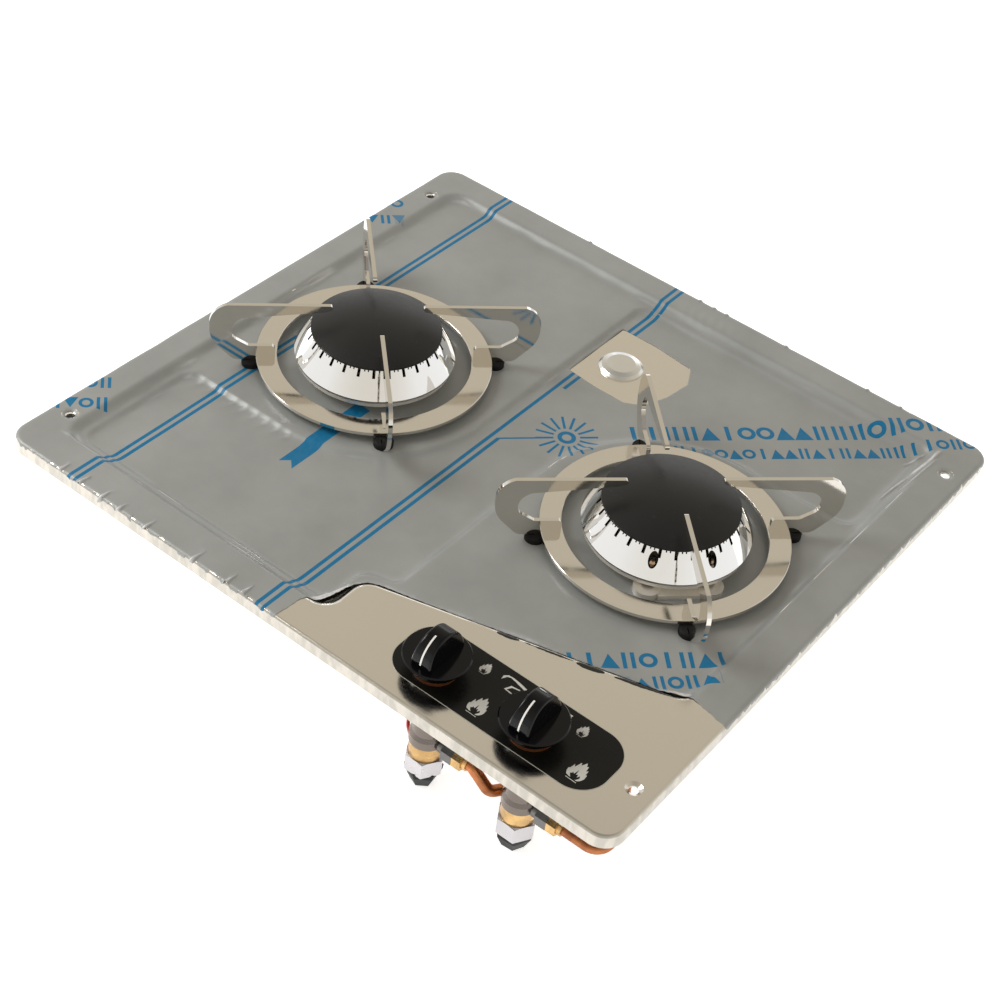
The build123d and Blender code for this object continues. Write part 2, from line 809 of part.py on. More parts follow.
def pointer_strip():
    """Inlaid line along the front of the grip, from its foot almost to the top."""
    outer = extrude(Plane.YZ * Ellipse(GRIP_HALF_L, GRIP_RISE), 0.6, both=True)
    inner = extrude(Plane.YZ * Ellipse(GRIP_HALF_L - 0.5, GRIP_RISE - 0.5), 1, both=True)
    window = Pos(0, -11, 10.8) * Box(4, 15, 18)
    return Pos(0, 0, KNOB_SKIRT_Z) * ((outer - inner) & window)


def pointer(n):
    return Pos(TAPS[n], TAP_Y, 0) * pointer_strip()


def microswitches():
    """Ignition switches beside the tap necks."""
    boxes = []
    for x in TAPS.values():
        case = Pos(x, TAP_Y + 12.6, BRACKET_Z + 6.5) * Box(18, 7, 10)
        tongue = Pos(x, TAP_Y + 12.6, BRACKET_Z + 12.2) * Box(12, 3, 1.4)
        boxes.append(case + tongue)
    return boxes


# ---- gas and wiring underneath ----


def rear_elbow():
    """Socket block behind the right tap that takes the link pipe."""
    x = TAPS[2]
    block = Pos(x, LINK_BACK_Y, PORT_Z) * Box(10, 10, 10)
    neck = rod((x, TAP_Y + 11.3, PORT_Z), (x, LINK_BACK_Y - 4, PORT_Z), 4.6)
    neck -= disc(x, TAP_Y, TAP_FLANGE_R, -80, -40)
    socket = rod((x - 4, LINK_BACK_Y, PORT_Z), (LINK_END_X, LINK_BACK_Y, PORT_Z), 4.8)
    return block + neck + socket


def link_pipe():
    """Copper pipe carrying gas on from the right tap to the left one."""
    z = PORT_Z
    points = [
        (TAPS[1] + 24, TAP_Y, z),
        (128.5, TAP_Y, z),
        (143, TAP_Y + 1, z - 13.5),
        (150.5, TAP_Y + 11, z - 13),
        (138, LINK_BACK_Y, z),
        (LINK_END_X, LINK_BACK_Y, z),
    ]
    return bent_rod(points, PIPE_R, 6, PIPE_BORE_R)


def supply_pipe():
    """Pipe from the right tap round the front corner and back to the inlet."""
    route = [(TAPS[2] + 24, TAP_Y), (227, TAP_Y), (227, -180), (SUPPLY_X, -140), (SUPPLY_X, INLET_Y)]
    return bent_rod([(x, y, PORT_Z) for x, y in route], PIPE_R, 10, PIPE_BORE_R)


def feed_pipes():
    """Pipes from each tap's outlet to its injector holder."""
    pipes = []
    for n, x in TAPS.items():
        bx, by = burner_centre(n)
        points = [
            (x, TAP_Y + 9, OUTLET_Z),
            (x, TAP_Y + 50, OUTLET_Z),
            (bx, by - 70, FEED_Z),
            (bx, by - 9, FEED_Z),
        ]
        pipes.append(bent_rod(points, FEED_R, 16, FEED_BORE_R))
    return pipes


def inlet_bracket():
    """Strip spot-welded under the plate to hold the gas inlet."""
    y = INLET_Y + 9
    under = UNDER_PLATFORM
    plate = Pos(SUPPLY_X, y, (under - 62) / 2) * Box(14, 1.5, under + 62)
    toe = Pos(SUPPLY_X, y + 6, under - 0.75) * Box(14, 12, 1.5)
    return plate + toe - rod((SUPPLY_X, y - 2, PORT_Z), (SUPPLY_X, y + 2, PORT_Z), 4.6)


def inlet_fitting():
    """Brass bulkhead union with a male thread for the gas hose."""
    x, y, z = SUPPLY_X, INLET_Y, PORT_Z
    body = rod((x, y, z), (x, y + 2, z), 5.2)
    body += extrude(Plane(origin=(x, y + 2, z), z_dir=(0, 1, 0)) * RegularPolygon(7.8, 6), 6.25)
    body += rod((x, y + 8, z), (x, y + 32, z), 4.5)
    locknut = extrude(Plane(origin=(x, y + 9.75, z), z_dir=(0, 1, 0)) * RegularPolygon(7.8, 6), 4)
    return body + locknut - rod((x, y - 1, z), (x, y + 33, z), 2.4)


def spark_box():
    """Ignition generator hung on two studs under the pan."""
    x, y = SPARK_BOX_AT
    case = Pos(x, y, UNDER_PAN - 12) * Box(38, 56, 24)
    case = fillet(case.edges().filter_by(Axis.Z), 3)
    for s in (-1, 1):
        lug = Pos(x, y + 34 * s, UNDER_PAN - 1.5) * Box(14, 14, 3)
        case += lug - disc(x, y + 36 * s, 2.2, -20, 20)
    return case


def box_studs():
    x, y = SPARK_BOX_AT
    return [disc(x, y + 36 * s, 1.95, UNDER_PAN - 9, UNDER_PAN) for s in (-1, 1)]


def box_nuts():
    x, y = SPARK_BOX_AT
    low = UNDER_PAN - 6.2
    nuts = []
    for s in (-1, 1):
        nuts.append(hexagon(x, y + 36 * s, 7, low, low + 3.2) - disc(x, y + 36 * s, 2.0, -20, 20))
    return nuts


def spark_leads():
    """High-tension leads with a rubber boot on each electrode."""
    x, y = SPARK_BOX_AT
    routes = {
        1: [(x - 19, y, -12), (x - 34, y, -12), (-70, 72, -26), (-165, 72, -26), (-190, 40, -24)],
        2: [(x + 19, y, -12), (x + 34, y, -12), (70, 68, -26), (160, 68, -26), (186, 20, -24)],
    }
    leads = []
    for n, route in routes.items():
        sx, sy = service_points(n)[1]
        boot = disc(sx, sy, 4.0, -28, -14) - disc(sx, sy, 0.8, -18, 0)
        leads.append(boot + bent_rod(route + [(sx, sy, -24)], 1.5, 8))
    return leads


def thermo_leads():
    """Copper capillaries from the flame probes to the magnets."""
    routes = {
        1: [(60, -160, -38), (-100, -125, -40), (-192, -40, -30), (-180, 47.4, -26)],
        2: [(144, -160, -38), (143.7, -90, -40), (143.7, -62, -26)],
    }
    leads = []
    for n, x in TAPS.items():
        union = rod((x - 8.0, TAP_Y + 8.0, -50), (x - 13.0, TAP_Y + 13.0, -50), 3.6)
        union -= disc(x, TAP_Y, TAP_FLANGE_R, -80, -40)
        tx, ty = service_points(n)[0]
        points = [(x - 12.0, TAP_Y + 12.0, -50), (x - 17.0, TAP_Y + 17.0, -50)]
        points += [(x - 21.0, TAP_Y + 22.0, -38), *routes[n], (tx, ty, -26), (tx, ty, -14)]
        leads.append(union + bent_rod(points, LEAD_R, 4))
    return leads


def switch_wires():
    """Red insulated wires from the switches, looping past the taps to the spark box."""
    bx, by = SPARK_BOX_AT
    y = TAP_Y + 16.1
    z = BRACKET_Z + 6.5
    x1, x2 = TAPS.values()
    first = [
        (x1 - 6, y, z),
        (x1 - 6, y + 9, z),
        (x1 - 22, y + 10, -24),
        (x1 - 23, TAP_Y + 10, -48),
        (x1 - 15.6, TAP_Y, -55),
        (x1 - 15.2, TAP_Y + 3, -66),
        (x1 - 19, TAP_Y + 20, -70),
        (x1 - 30, TAP_Y + 50, -50),
        (bx - 8, by - 60, -14),
        (bx - 8, by - 28, -14),
    ]
    second = [
        (x2 + 6, y, z),
        (x2 + 6, y + 9, z),
        (x2 + 16, y + 10, -24),
        (x2 + 16, y + 2, -46),
        (x2 + 15.8, TAP_Y + 10.4, -58),
        (x2 + 15.4, TAP_Y + 22, -66),
        (x2 + 10, TAP_Y + 44, -50),
        (x2 - 44, TAP_Y + 90, -52),
        (bx + 8, by - 60, -14),
        (bx + 8, by - 28, -14),
    ]
    return [bent_rod(path, WIRE_R, 3) for path in (first, second)]


def write(name, shape):
    solids = shape if isinstance(shape, list) else [shape]
    if len(solids) > 1:
        shape = Compound(children=[Part() + s for s in solids])
    else:
        shape = solids[0]
    export_step(shape, f"parts/{name}.step")


PLAIN = {
    "hob_plate": hob_plate,
    "protective_film": protective_film,
    "rim_seal": rim_seal,
    "panel_label": panel_label,
    "knob_seals": knob_seals,
    "hole_plug": hole_plug,
    "cup_screws": cup_screws,
    "cup_nuts": cup_nuts,
    "injector_holders": injector_holders,
    "injectors": injectors,
    "support_feet": support_feet,
    "tap_bracket": tap_bracket,
    "tap_bodies": tap_bodies,
    "tap_glands": tap_glands,
    "tap_screws": tap_screws,
    "magnet_rings": magnet_rings,
    "magnet_nuts": magnet_nuts,
    "magnet_caps": magnet_caps,
    "inlet_unions": inlet_unions,
    "rear_elbow": rear_elbow,
    "pipe_nuts": pipe_nuts,
    "link_pipe": link_pipe,
    "supply_pipe": supply_pipe,
    "feed_pipes": feed_pipes,
    "inlet_bracket": inlet_bracket,
    "inlet_fitting": inlet_fitting,
    "microswitches": microswitches,
    "spark_box": spark_box,
    "box_studs": box_studs,
    "box_nuts": box_nuts,
    "spark_leads": spark_leads,
    "thermo_leads": thermo_leads,
    "switch_wires": switch_wires,
}
PER_BURNER = {
    "burner_cup": burner_cup,
    "crown": crown,
    "cap": cap,
    "thermocouple": thermocouple,
    "igniter": igniter,
    "electrode": electrode,
    "support_ring": support_ring,
    "support_legs": support_legs,
    "tap_rotor": tap_rotor,
    "spindle": spindle,
    "tap_spring": tap_spring,
    "knob": knob,
    "pointer": pointer,
}

os.makedirs("parts", exist_ok=True)
for name, make in PLAIN.items():
    write(name, make())
for name, make in PER_BURNER.items():
    for n in BURNERS:
        write(f"{name}_{n}", make(n))
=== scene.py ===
import math

import bpy
import numpy as np
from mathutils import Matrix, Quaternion, Vector
from mathutils.bvhtree import BVHTree


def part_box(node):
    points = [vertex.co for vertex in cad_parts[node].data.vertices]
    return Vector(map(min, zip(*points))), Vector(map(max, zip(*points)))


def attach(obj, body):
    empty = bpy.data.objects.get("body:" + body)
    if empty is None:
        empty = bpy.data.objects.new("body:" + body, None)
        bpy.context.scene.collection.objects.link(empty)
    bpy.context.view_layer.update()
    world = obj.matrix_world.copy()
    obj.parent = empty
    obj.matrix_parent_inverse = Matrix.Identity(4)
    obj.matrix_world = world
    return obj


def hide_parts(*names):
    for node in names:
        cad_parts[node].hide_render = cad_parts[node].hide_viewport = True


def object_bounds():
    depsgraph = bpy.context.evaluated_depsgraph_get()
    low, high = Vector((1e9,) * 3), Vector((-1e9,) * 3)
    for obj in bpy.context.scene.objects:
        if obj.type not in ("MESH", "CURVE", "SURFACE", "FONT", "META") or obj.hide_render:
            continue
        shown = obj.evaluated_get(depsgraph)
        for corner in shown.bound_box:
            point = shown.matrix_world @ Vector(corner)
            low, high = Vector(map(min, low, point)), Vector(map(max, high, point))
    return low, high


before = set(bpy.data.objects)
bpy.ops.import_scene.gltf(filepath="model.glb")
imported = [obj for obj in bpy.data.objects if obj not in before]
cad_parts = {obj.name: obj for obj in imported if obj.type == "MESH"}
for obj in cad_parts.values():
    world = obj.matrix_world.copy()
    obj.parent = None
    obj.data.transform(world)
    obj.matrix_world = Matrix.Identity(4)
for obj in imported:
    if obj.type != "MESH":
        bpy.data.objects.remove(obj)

CAD_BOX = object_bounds()
MM = 0.001


# ---- places taken from the frame, in mm ----


def corners(node):
    """Lowest and highest corner of a CAD node, in mm."""
    low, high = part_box(node)
    return low / MM, high / MM


def centre(node):
    low, high = corners(node)
    return (low + high) / 2


BURNERS = {n: centre(f"crown_{n}") for n in (1, 2)}
PLATE_HIGH = corners("hob_plate")[1]
HALF_W = PLATE_HIGH.x
HALF_D = PLATE_HIGH.y
RIM_TOP = PLATE_HIGH.z
FLOOR_Z = CAD_BOX[0].z


# ---- shader building ----


class Num:
    """A number in a node tree. Arithmetic on it adds Math nodes."""

    def __init__(self, tree, socket):
        self.tree = tree
        self.socket = socket

    def math(self, operation, *others, clamp=False):
        node = self.tree.nodes.new("ShaderNodeMath")
        node.operation = operation
        node.use_clamp = clamp
        for slot, value in zip(node.inputs, (self, *others)):
            if isinstance(value, Num):
                self.tree.links.new(value.socket, slot)
            else:
                slot.default_value = value
        return Num(self.tree, node.outputs[0])

    def __add__(self, other):
        return self.math("ADD", other)

    def __sub__(self, other):
        return self.math("SUBTRACT", other)

    def __mul__(self, other):
        return self.math("MULTIPLY", other)

    def __truediv__(self, other):
        return self.math("DIVIDE", other)

    def abs(self):
        return self.math("ABSOLUTE")

    def most(self, other):
        return self.math("MAXIMUM", other)

    def below(self, limit, soft=0.12):
        """1 where the number is under limit, 0 above it, with a soft step."""
        return ((self - limit) * (-1 / soft)).math("ADD", 0.5, clamp=True)

    def ramp(self, low, high, out_low=0.0, out_high=1.0):
        """The number moved from low..high to out_low..out_high, held at both ends."""
        node = self.tree.nodes.new("ShaderNodeMapRange")
        self.tree.links.new(self.socket, node.inputs["Value"])
        ends = {"From Min": low, "From Max": high, "To Min": out_low, "To Max": out_high}
        for name, value in ends.items():
            node.inputs[name].default_value = value
        return Num(self.tree, node.outputs["Result"])


class Paint:
    """One material with a Principled shader and helpers for its patterns."""

    def __init__(self, name, **shader_values):
        self.material = bpy.data.materials.new(name)
        self.material.use_nodes = True
        self.tree = self.material.node_tree
        self.shader = self.tree.nodes["Principled BSDF"]
        self.place = self.new("ShaderNodeTexCoord").outputs["Object"]
        for key, value in shader_values.items():
            self.set(key.replace("_", " "), value)

    @classmethod
    def over(cls, material):
        """Takes up a material again, to add to it."""
        paint = cls.__new__(cls)
        paint.material = material
        paint.tree = material.node_tree
        paint.shader = paint.tree.nodes["Principled BSDF"]
        paint.place = paint.tree.nodes["Texture Coordinate"].outputs["Object"]
        return paint

    def new(self, kind, **settings):
        node = self.tree.nodes.new(kind)
        for key, value in settings.items():
            setattr(node, key, value)
        return node

    def set(self, name, value):
        """Gives a Principled input a number, a colour or a socket."""
        slot = self.shader.inputs[name]
        if isinstance(value, Num):
            value = value.socket
        if isinstance(value, bpy.types.NodeSocket):
            self.tree.links.new(value, slot)
        elif isinstance(value, tuple):
            slot.default_value = (*value, 1.0) if len(value) == 3 else value
        else:
            slot.default_value = value

    def noise(self, scale, detail=3.0, stretch=(1, 1, 1), roughness=0.5, place=None):
        """Noise from 0 to 1 with scale features per metre."""
        mapping = self.new("ShaderNodeMapping")
        self.tree.links.new(place or self.place, mapping.inputs["Vector"])
        mapping.inputs["Scale"].default_value = stretch
        texture = self.new("ShaderNodeTexNoise")
        self.tree.links.new(mapping.outputs["Vector"], texture.inputs["Vector"])
        texture.inputs["Scale"].default_value = scale
        texture.inputs["Detail"].default_value = detail
        texture.inputs["Roughness"].default_value = roughness
        return Num(self.tree, texture.outputs["Fac"])

    def position(self):
        """The point's place in the row frame, in mm."""
        parts = self.new("ShaderNodeSeparateXYZ")
        self.tree.links.new(self.place, parts.inputs["Vector"])
        return [Num(self.tree, parts.outputs[axis]) * (1 / MM) for axis in "XYZ"]

    def mix(self, share, first, second):
        """Colour first where share is 0 and second where it is 1."""
        node = self.new("ShaderNodeMix", data_type="RGBA")
        self.tree.links.new(share.socket, node.inputs["Factor"])
        for name, colour in (("A", first), ("B", second)):
            slot = [s for s in node.inputs if s.name == name and s.type == "RGBA"][0]
            if isinstance(colour, bpy.types.NodeSocket):
                self.tree.links.new(colour, slot)
            else:
                slot.default_value = (*colour, 1.0)
        return [s for s in node.outputs if s.type == "RGBA"][0]

    def bump(self, height, depth_mm):
        """Relief of depth_mm where height goes from 0 to 1."""
        node = self.new("ShaderNodeBump")
        node.inputs["Distance"].default_value = depth_mm * MM
        self.tree.links.new(height.socket, node.inputs["Height"])
        self.set("Normal", node.outputs["Normal"])


# ---- materials ----


def rolled_steel(name, colour, rough=0.16, streak=(1, 14, 1), scratches=0.02):
    """Bright rolled stainless sheet with faint streaks along one way."""
    p = Paint(name, Metallic=1.0)
    streaks = p.noise(60, 4, streak, 0.6)
    cloud = p.noise(9, 3)
    fine = p.noise(420, 2, streak)
    p.set("Base Color", p.mix(cloud * 0.6 + streaks * 0.4, tuple(c * 0.93 for c in colour), colour))
    p.set("Roughness", streaks.ramp(0.3, 0.7, rough * 0.8, rough * 1.25) + (cloud - 0.5) * 0.06)
    p.bump(fine * 0.5 + streaks * 0.5, scratches)
    return p.material


TEAR_SHADE = (  # ends and half width of the painted shade in the gap under the film's torn edge, mm
    (0.5, -206, 6.8, -177.5, 1.9),
    (30, -166.5, 52, -161.0, 0.7),
    (100, -149.0, 115, -145.0, 1.9),
    (118, -144.2, 150, -135.4, 0.9),
    (152, -135.4, 170, -130.2, 2.2),
    (176, -128.6, 216, -114.8, 1.7),
)


def plate_steel():
    """Bright sheet with painted shade in the gap under the film's torn edge, and painted shade mottled with
    stains on its upright faces.
    """
    material = rolled_steel("panel_steel", (0.80, 0.757, 0.690), 0.15)
    marks = Paint.over(material)
    x, y, z = marks.position()
    ragged = (marks.noise(260, 3) - 0.5) * 1.6
    dark = None
    # each lens is painted shade under the lifted edge of the torn film
    for ax, ay, bx, by, half in TEAR_SHADE:
        length = math.hypot(bx - ax, by - ay)
        dx, dy = (bx - ax) / length, (by - ay) / length
        along = (((x - ax) * dx + (y - ay) * dy) / length - 0.5).abs() * 2
        across = ((x - ax) * -dy + (y - ay) * dx).abs() + ragged
        room = (along * along * -1 + 1).most(0).math("SQRT") * half
        spot = (across - room).below(0, 0.3) * along.below(1, 0.02)
        dark = spot if dark is None else dark.most(spot)
    clean = marks.shader.inputs["Base Color"].links[0].from_socket
    # painted shade on the upright skirt and pressed walls: a duller grey, mottled with stains
    facing = marks.new("ShaderNodeSeparateXYZ")
    marks.tree.links.new(marks.tree.nodes["Texture Coordinate"].outputs["Normal"], facing.inputs["Vector"])
    upright = Num(marks.tree, facing.outputs["Z"]).abs().below(0.75, 0.3)
    stain = marks.noise(160, 5, (1, 1, 0.3)).ramp(0.4, 0.6, 0.6, 1.0)
    shaded_sides = marks.mix(upright * stain, clean, (0.48, 0.46, 0.42))
    # painted shade: near-black and not metallic inside the lenses
    marks.set("Base Color", marks.mix(dark, shaded_sides, (0.008, 0.007, 0.006)))
    marks.set("Metallic", dark * -1 + 1)
    return material


def mirror_chrome(name, colour=(0.86, 0.855, 0.84), rough=0.035):
    """Plated mirror with a trace of haze and polishing marks."""
    p = Paint(name, Metallic=1.0, Base_Color=colour)
    haze = p.noise(55, 4)
    p.set("Roughness", haze.ramp(0.35, 0.75, rough, rough * 2.4))
    p.bump(p.noise(700, 2), 0.001)
    return p.material


def cast_metal(name, colour, rough=0.42, grain=0.05, metal=1.0):
    """Die-cast metal with a fine pebbled skin."""
    p = Paint(name, Metallic=metal)
    grains = p.noise(900, 3)
    stain = p.noise(30, 4)
    p.set("Base Color", p.mix(stain, tuple(c * 0.72 for c in colour), colour))
    p.set("Roughness", stain.ramp(0.3, 0.7, rough * 0.75, rough * 1.2))
    p.bump(grains, grain)
    return p.material


def satin_enamel(name, colour=(0.009, 0.009, 0.009)):
    """Fired enamel: fine orange-peel skin under a soft gloss."""
    p = Paint(name, Base_Color=colour, Specular_IOR_Level=0.3, Coat_Weight=0.1, Coat_Roughness=0.22)
    peel = p.noise(1500, 2)
    dust = p.noise(260, 5, roughness=0.7)
    p.set("Base Color", p.mix(dust.ramp(0.62, 0.8), colour, (0.035, 0.035, 0.036)))
    p.set("Roughness", dust.ramp(0.3, 0.8, 0.36, 0.46))
    p.bump(peel, 0.02)
    return p.material


def moulded(name, colour, rough=0.3, grain=0.01, gloss=0.5):
    """Moulded plastic or rubber with a fine grain and slight wear."""
    p = Paint(name, Specular_IOR_Level=gloss)
    wear = p.noise(70, 4)
    deep = tuple(c * 0.8 for c in colour)
    pale = tuple(min(1, c * 1.15 + 0.002) for c in colour)
    p.set("Base Color", p.mix(wear, deep, pale))
    p.set("Roughness", wear.ramp(0.3, 0.7, rough * 0.85, rough * 1.2))
    p.bump(p.noise(1200, 2), grain)
    return p.material


def knob_gloss(name):
    """Polished black plastic with faint handling marks."""
    p = Paint(name, Base_Color=(0.002, 0.002, 0.003), Specular_IOR_Level=0.26)
    marks = p.noise(90, 5)
    p.set("Roughness", marks.ramp(0.35, 0.75, 0.07, 0.2))
    p.bump(p.noise(500, 2), 0.002)
    return p.material


def copper(name):
    """Drawn copper pipe, bright where clean and browned in patches."""
    p = Paint(name, Metallic=1.0)
    tarnish = p.noise(45, 5, roughness=0.65)
    p.set("Base Color", p.mix(tarnish.ramp(0.35, 0.65), (0.58, 0.22, 0.085), (0.28, 0.105, 0.05)))
    p.set("Roughness", tarnish.ramp(0.3, 0.7, 0.16, 0.38))
    p.bump(p.noise(600, 3), 0.012)
    return p.material


def brass(name):
    """Turned brass with fine tool rings and dull spots."""
    p = Paint(name, Metallic=1.0)
    dull = p.noise(80, 4)
    rings = p.noise(40, 2, (1, 1, 90))
    p.set("Base Color", p.mix(dull.ramp(0.35, 0.7), (0.70, 0.46, 0.20), (0.42, 0.26, 0.11)))
    p.set("Roughness", dull.ramp(0.3, 0.7, 0.16, 0.36))
    p.bump(rings, 0.02)
    return p.material


def foam(name):
    p = Paint(name, Base_Color=(0.02, 0.02, 0.02), Roughness=0.9)
    p.bump(p.noise(2500, 3), 0.3)
    return p.material


def white_ceramic(name):
    p = Paint(name, Roughness=0.22, Coat_Weight=0.3)
    specks = p.noise(700, 3)
    p.set("Base Color", p.mix(specks.ramp(0.55, 0.7), (0.80, 0.78, 0.72), (0.52, 0.49, 0.43)))
    p.bump(p.noise(500, 2), 0.01)
    return p.material


# ---- the film over the plate ----

FILM_TOP = 0.10             # film surface above the steel, mm
FILM_THICK = 0.08
CELL = 0.7                  # smallest cell of the film mesh, mm
LEVELS = 3                  # the largest cell is CELL * 2 ** LEVELS
COLUMNS, ROWS = 92, 87      # of the largest cells
SAMPLE = 1.4                # spacing of the plate height map, mm
BEND = 2.5                  # outer radius of the plate's bent rim
FOLD = BEND + FILM_TOP      # the same with the film on it
FLAT_W = HALF_W - BEND      # where the bend begins
FLAT_D = HALF_D - BEND
FLAT_CORNER = 12.5
WRAP = 4.4                  # how far the film reaches past the start of the bend
FRONT_WRAP = 2.4            # the same along the front edge
SCREW_X, SCREW_Y = 235.5, 191.5
SCREW_OPENING_R = 3.6
BURNER_OPENING_R = 46.0
FOOT_REACH = 87.5           # from a burner's middle to each rubber foot
FOOT_OPENING_R = 5.0

STRIPES = (-190.3, -185.0, -23.3, -17.8)  # x of the printed lines
STRIPE_HALF = 1.35          # half their width
BURST = (16.0, 39.0)        # middle of the printed star
PANEL_CUT = (  # outline of the film torn off the control panel
    (-10, -262), (-6, -212), (-4.5, -208.6), (0.5, -205.5), (2.5, -199.5), (5.2, -187), (6.8, -176.6),
    (12, -169.5), (22, -165.6), (49, -160), (167, -127.5), (204, -116.8), (218, -110), (226, -110.3),
    (242, -113.5), (270, -118), (270, -262),
)
PATCH_CUT = (  # outline of the hole torn between the burners
    (-28, 170), (2, 170.5), (35.5, 167), (44, 150.5), (41.5, 127), (34, 107), (22, 99.5),
    (-2, 99.2), (-28, 101.5),
)
TUCKS = (  # along the front edge: x, length inward
    (-199, 9), (-181, 9.5), (-161, 10), (-145, 7), (-121, 8), (-79, 10), (-50, 10.5), (-36, 11),
)
BACK_NICKS = (  # along the back edge: x, length inward
    (-107, 3), (-2, 4), (11, 3.5), (22.5, 4), (76, 5), (147, 4), (175, 3),
)
CREASES = (  # x, y to x, y, half width, height
    (-226, -207, -181, -205.0, 1.3, 1.1),
    (-219, -208, -186, -206.5, 0.9, 0.8),
    (-181, -205.0, -131, -205.5, 1.1, 0.6),
    (-84, -204.5, -40, -203.5, 1.2, 0.6),
    (-60, -208, -38, -205.5, 0.9, 0.5),
    (221, 211, 216, 176, 2.2, 1.6),
    (216, 176, 211.5, 138, 1.6, 1.1),
    (223, 200, 219, 150, 1.5, 1.0),
    (213, 205, 206, 186, 1.4, 0.9),
    (-4, -207, 6, -180, 1.8, 1.3),
    (205, -116, 219, -106, 1.6, 1.6),
    (38, 40, 27, 22, 1.0, 0.5),
)


def box_distance(x, y, half_w, half_d, radius):
    """Distance outside a rectangle with round corners, and the way outward."""
    qx = np.abs(x) - (half_w - radius)
    qy = np.abs(y) - (half_d - radius)
    ox = np.maximum(qx, 0)
    oy = np.maximum(qy, 0)
    reach = np.hypot(ox, oy)
    distance = reach + np.minimum(np.maximum(qx, qy), 0) - radius
    safe = np.maximum(reach, 1e-9)
    return distance, np.sign(x) * ox / safe, np.sign(y) * oy / safe


def polygon_distance(x, y, points):
    """Signed distance to a polygon, positive outside it."""
    best = np.full(x.shape, 1e9)
    inside = np.zeros(x.shape, bool)
    for (ax, ay), (bx, by) in zip(points, points[1:] + points[:1]):
        t = np.clip(((x - ax) * (bx - ax) + (y - ay) * (by - ay)) / ((bx - ax) ** 2 + (by - ay) ** 2), 0, 1)
        best = np.minimum(best, np.hypot(x - ax - t * (bx - ax), y - ay - t * (by - ay)))
        if ay != by:
            crosses = (ay > y) != (by > y)
            inside ^= crosses & (x < ax + (y - ay) * (bx - ax) / (by - ay))
    return np.where(inside, -best, best)


def segment_place(x, y, ax, ay, bx, by):
    """Distance from a line piece, and the share of the way along it."""
    t = np.clip(((x - ax) * (bx - ax) + (y - ay) * (by - ay)) / ((bx - ax) ** 2 + (by - ay) ** 2), 0, 1)
    return np.hypot(x - ax - t * (bx - ax), y - ay - t * (by - ay)), t


def waves(x, y, size, seed):
    """Smooth noise from about -1 to 1, with features about size mm across."""
    rng = np.random.default_rng(seed)
    total = np.zeros(x.shape)
    for _ in range(7):
        angle, phase = rng.uniform(0, 2 * math.pi, 2)
        turn = 2 * math.pi / size * rng.uniform(0.6, 1.5)
        total += np.sin((x * math.cos(angle) + y * math.sin(angle)) * turn + phase)
    return total / 2.6


def plate_tree():
    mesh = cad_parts["hob_plate"].data
    return BVHTree.FromPolygons([v.co for v in mesh.vertices], [p.vertices[:] for p in mesh.polygons])


def cast_down(tree, x, y):
    """Height of the plate under each point in mm, NaN over an opening."""
    down = Vector((0, 0, -1))
    heights = np.full(x.shape, np.nan)
    for i, (px, py) in enumerate(zip(x.flat, y.flat)):
        hit = tree.ray_cast(Vector((px * MM, py * MM, 0.05)), down)[0]
        if hit is not None:
            heights.flat[i] = hit.z / MM
    return heights


class HeightMap:
    """The plate's upper surface on a regular grid, its openings filled in."""

    def __init__(self, tree):
        self.xs = np.arange(-HALF_W - 6, HALF_W + 6, SAMPLE)
        self.ys = np.arange(-HALF_D - 6, HALF_D + 6, SAMPLE)
        x, y = np.meshgrid(self.xs, self.ys)
        z = cast_down(tree, x, y)
        z[box_distance(x, y, FLAT_W, FLAT_D, FLAT_CORNER)[0] > 0] = RIM_TOP
        for column in range(1, z.shape[1]):
            gap = np.isnan(z[:, column])
            z[gap, column] = z[gap, column - 1]
        self.z = z

    def at(self, grid, x, y):
        """Value of a map at any points, between its samples."""
        fx = np.clip((x - self.xs[0]) / SAMPLE, 0, len(self.xs) - 1.001)
        fy = np.clip((y - self.ys[0]) / SAMPLE, 0, len(self.ys) - 1.001)
        ix, iy = fx.astype(int), fy.astype(int)
        tx, ty = fx - ix, fy - iy
        low = grid[iy, ix] * (1 - tx) + grid[iy, ix + 1] * tx
        high = grid[iy + 1, ix] * (1 - tx) + grid[iy + 1, ix + 1] * tx
        return low * (1 - ty) + high * ty

    def smoothed(self, size):
        reach = int(3 * size / SAMPLE) + 1
        kernel = np.exp(-0.5 * (np.arange(-reach, reach + 1) * SAMPLE / size) ** 2)
        kernel /= kernel.sum()
        padded = np.pad(self.z, reach, mode="edge")
        rows = np.apply_along_axis(lambda line: np.convolve(line, kernel, "valid"), 1, padded)
        return np.apply_along_axis(lambda line: np.convolve(line, kernel, "valid"), 0, rows)


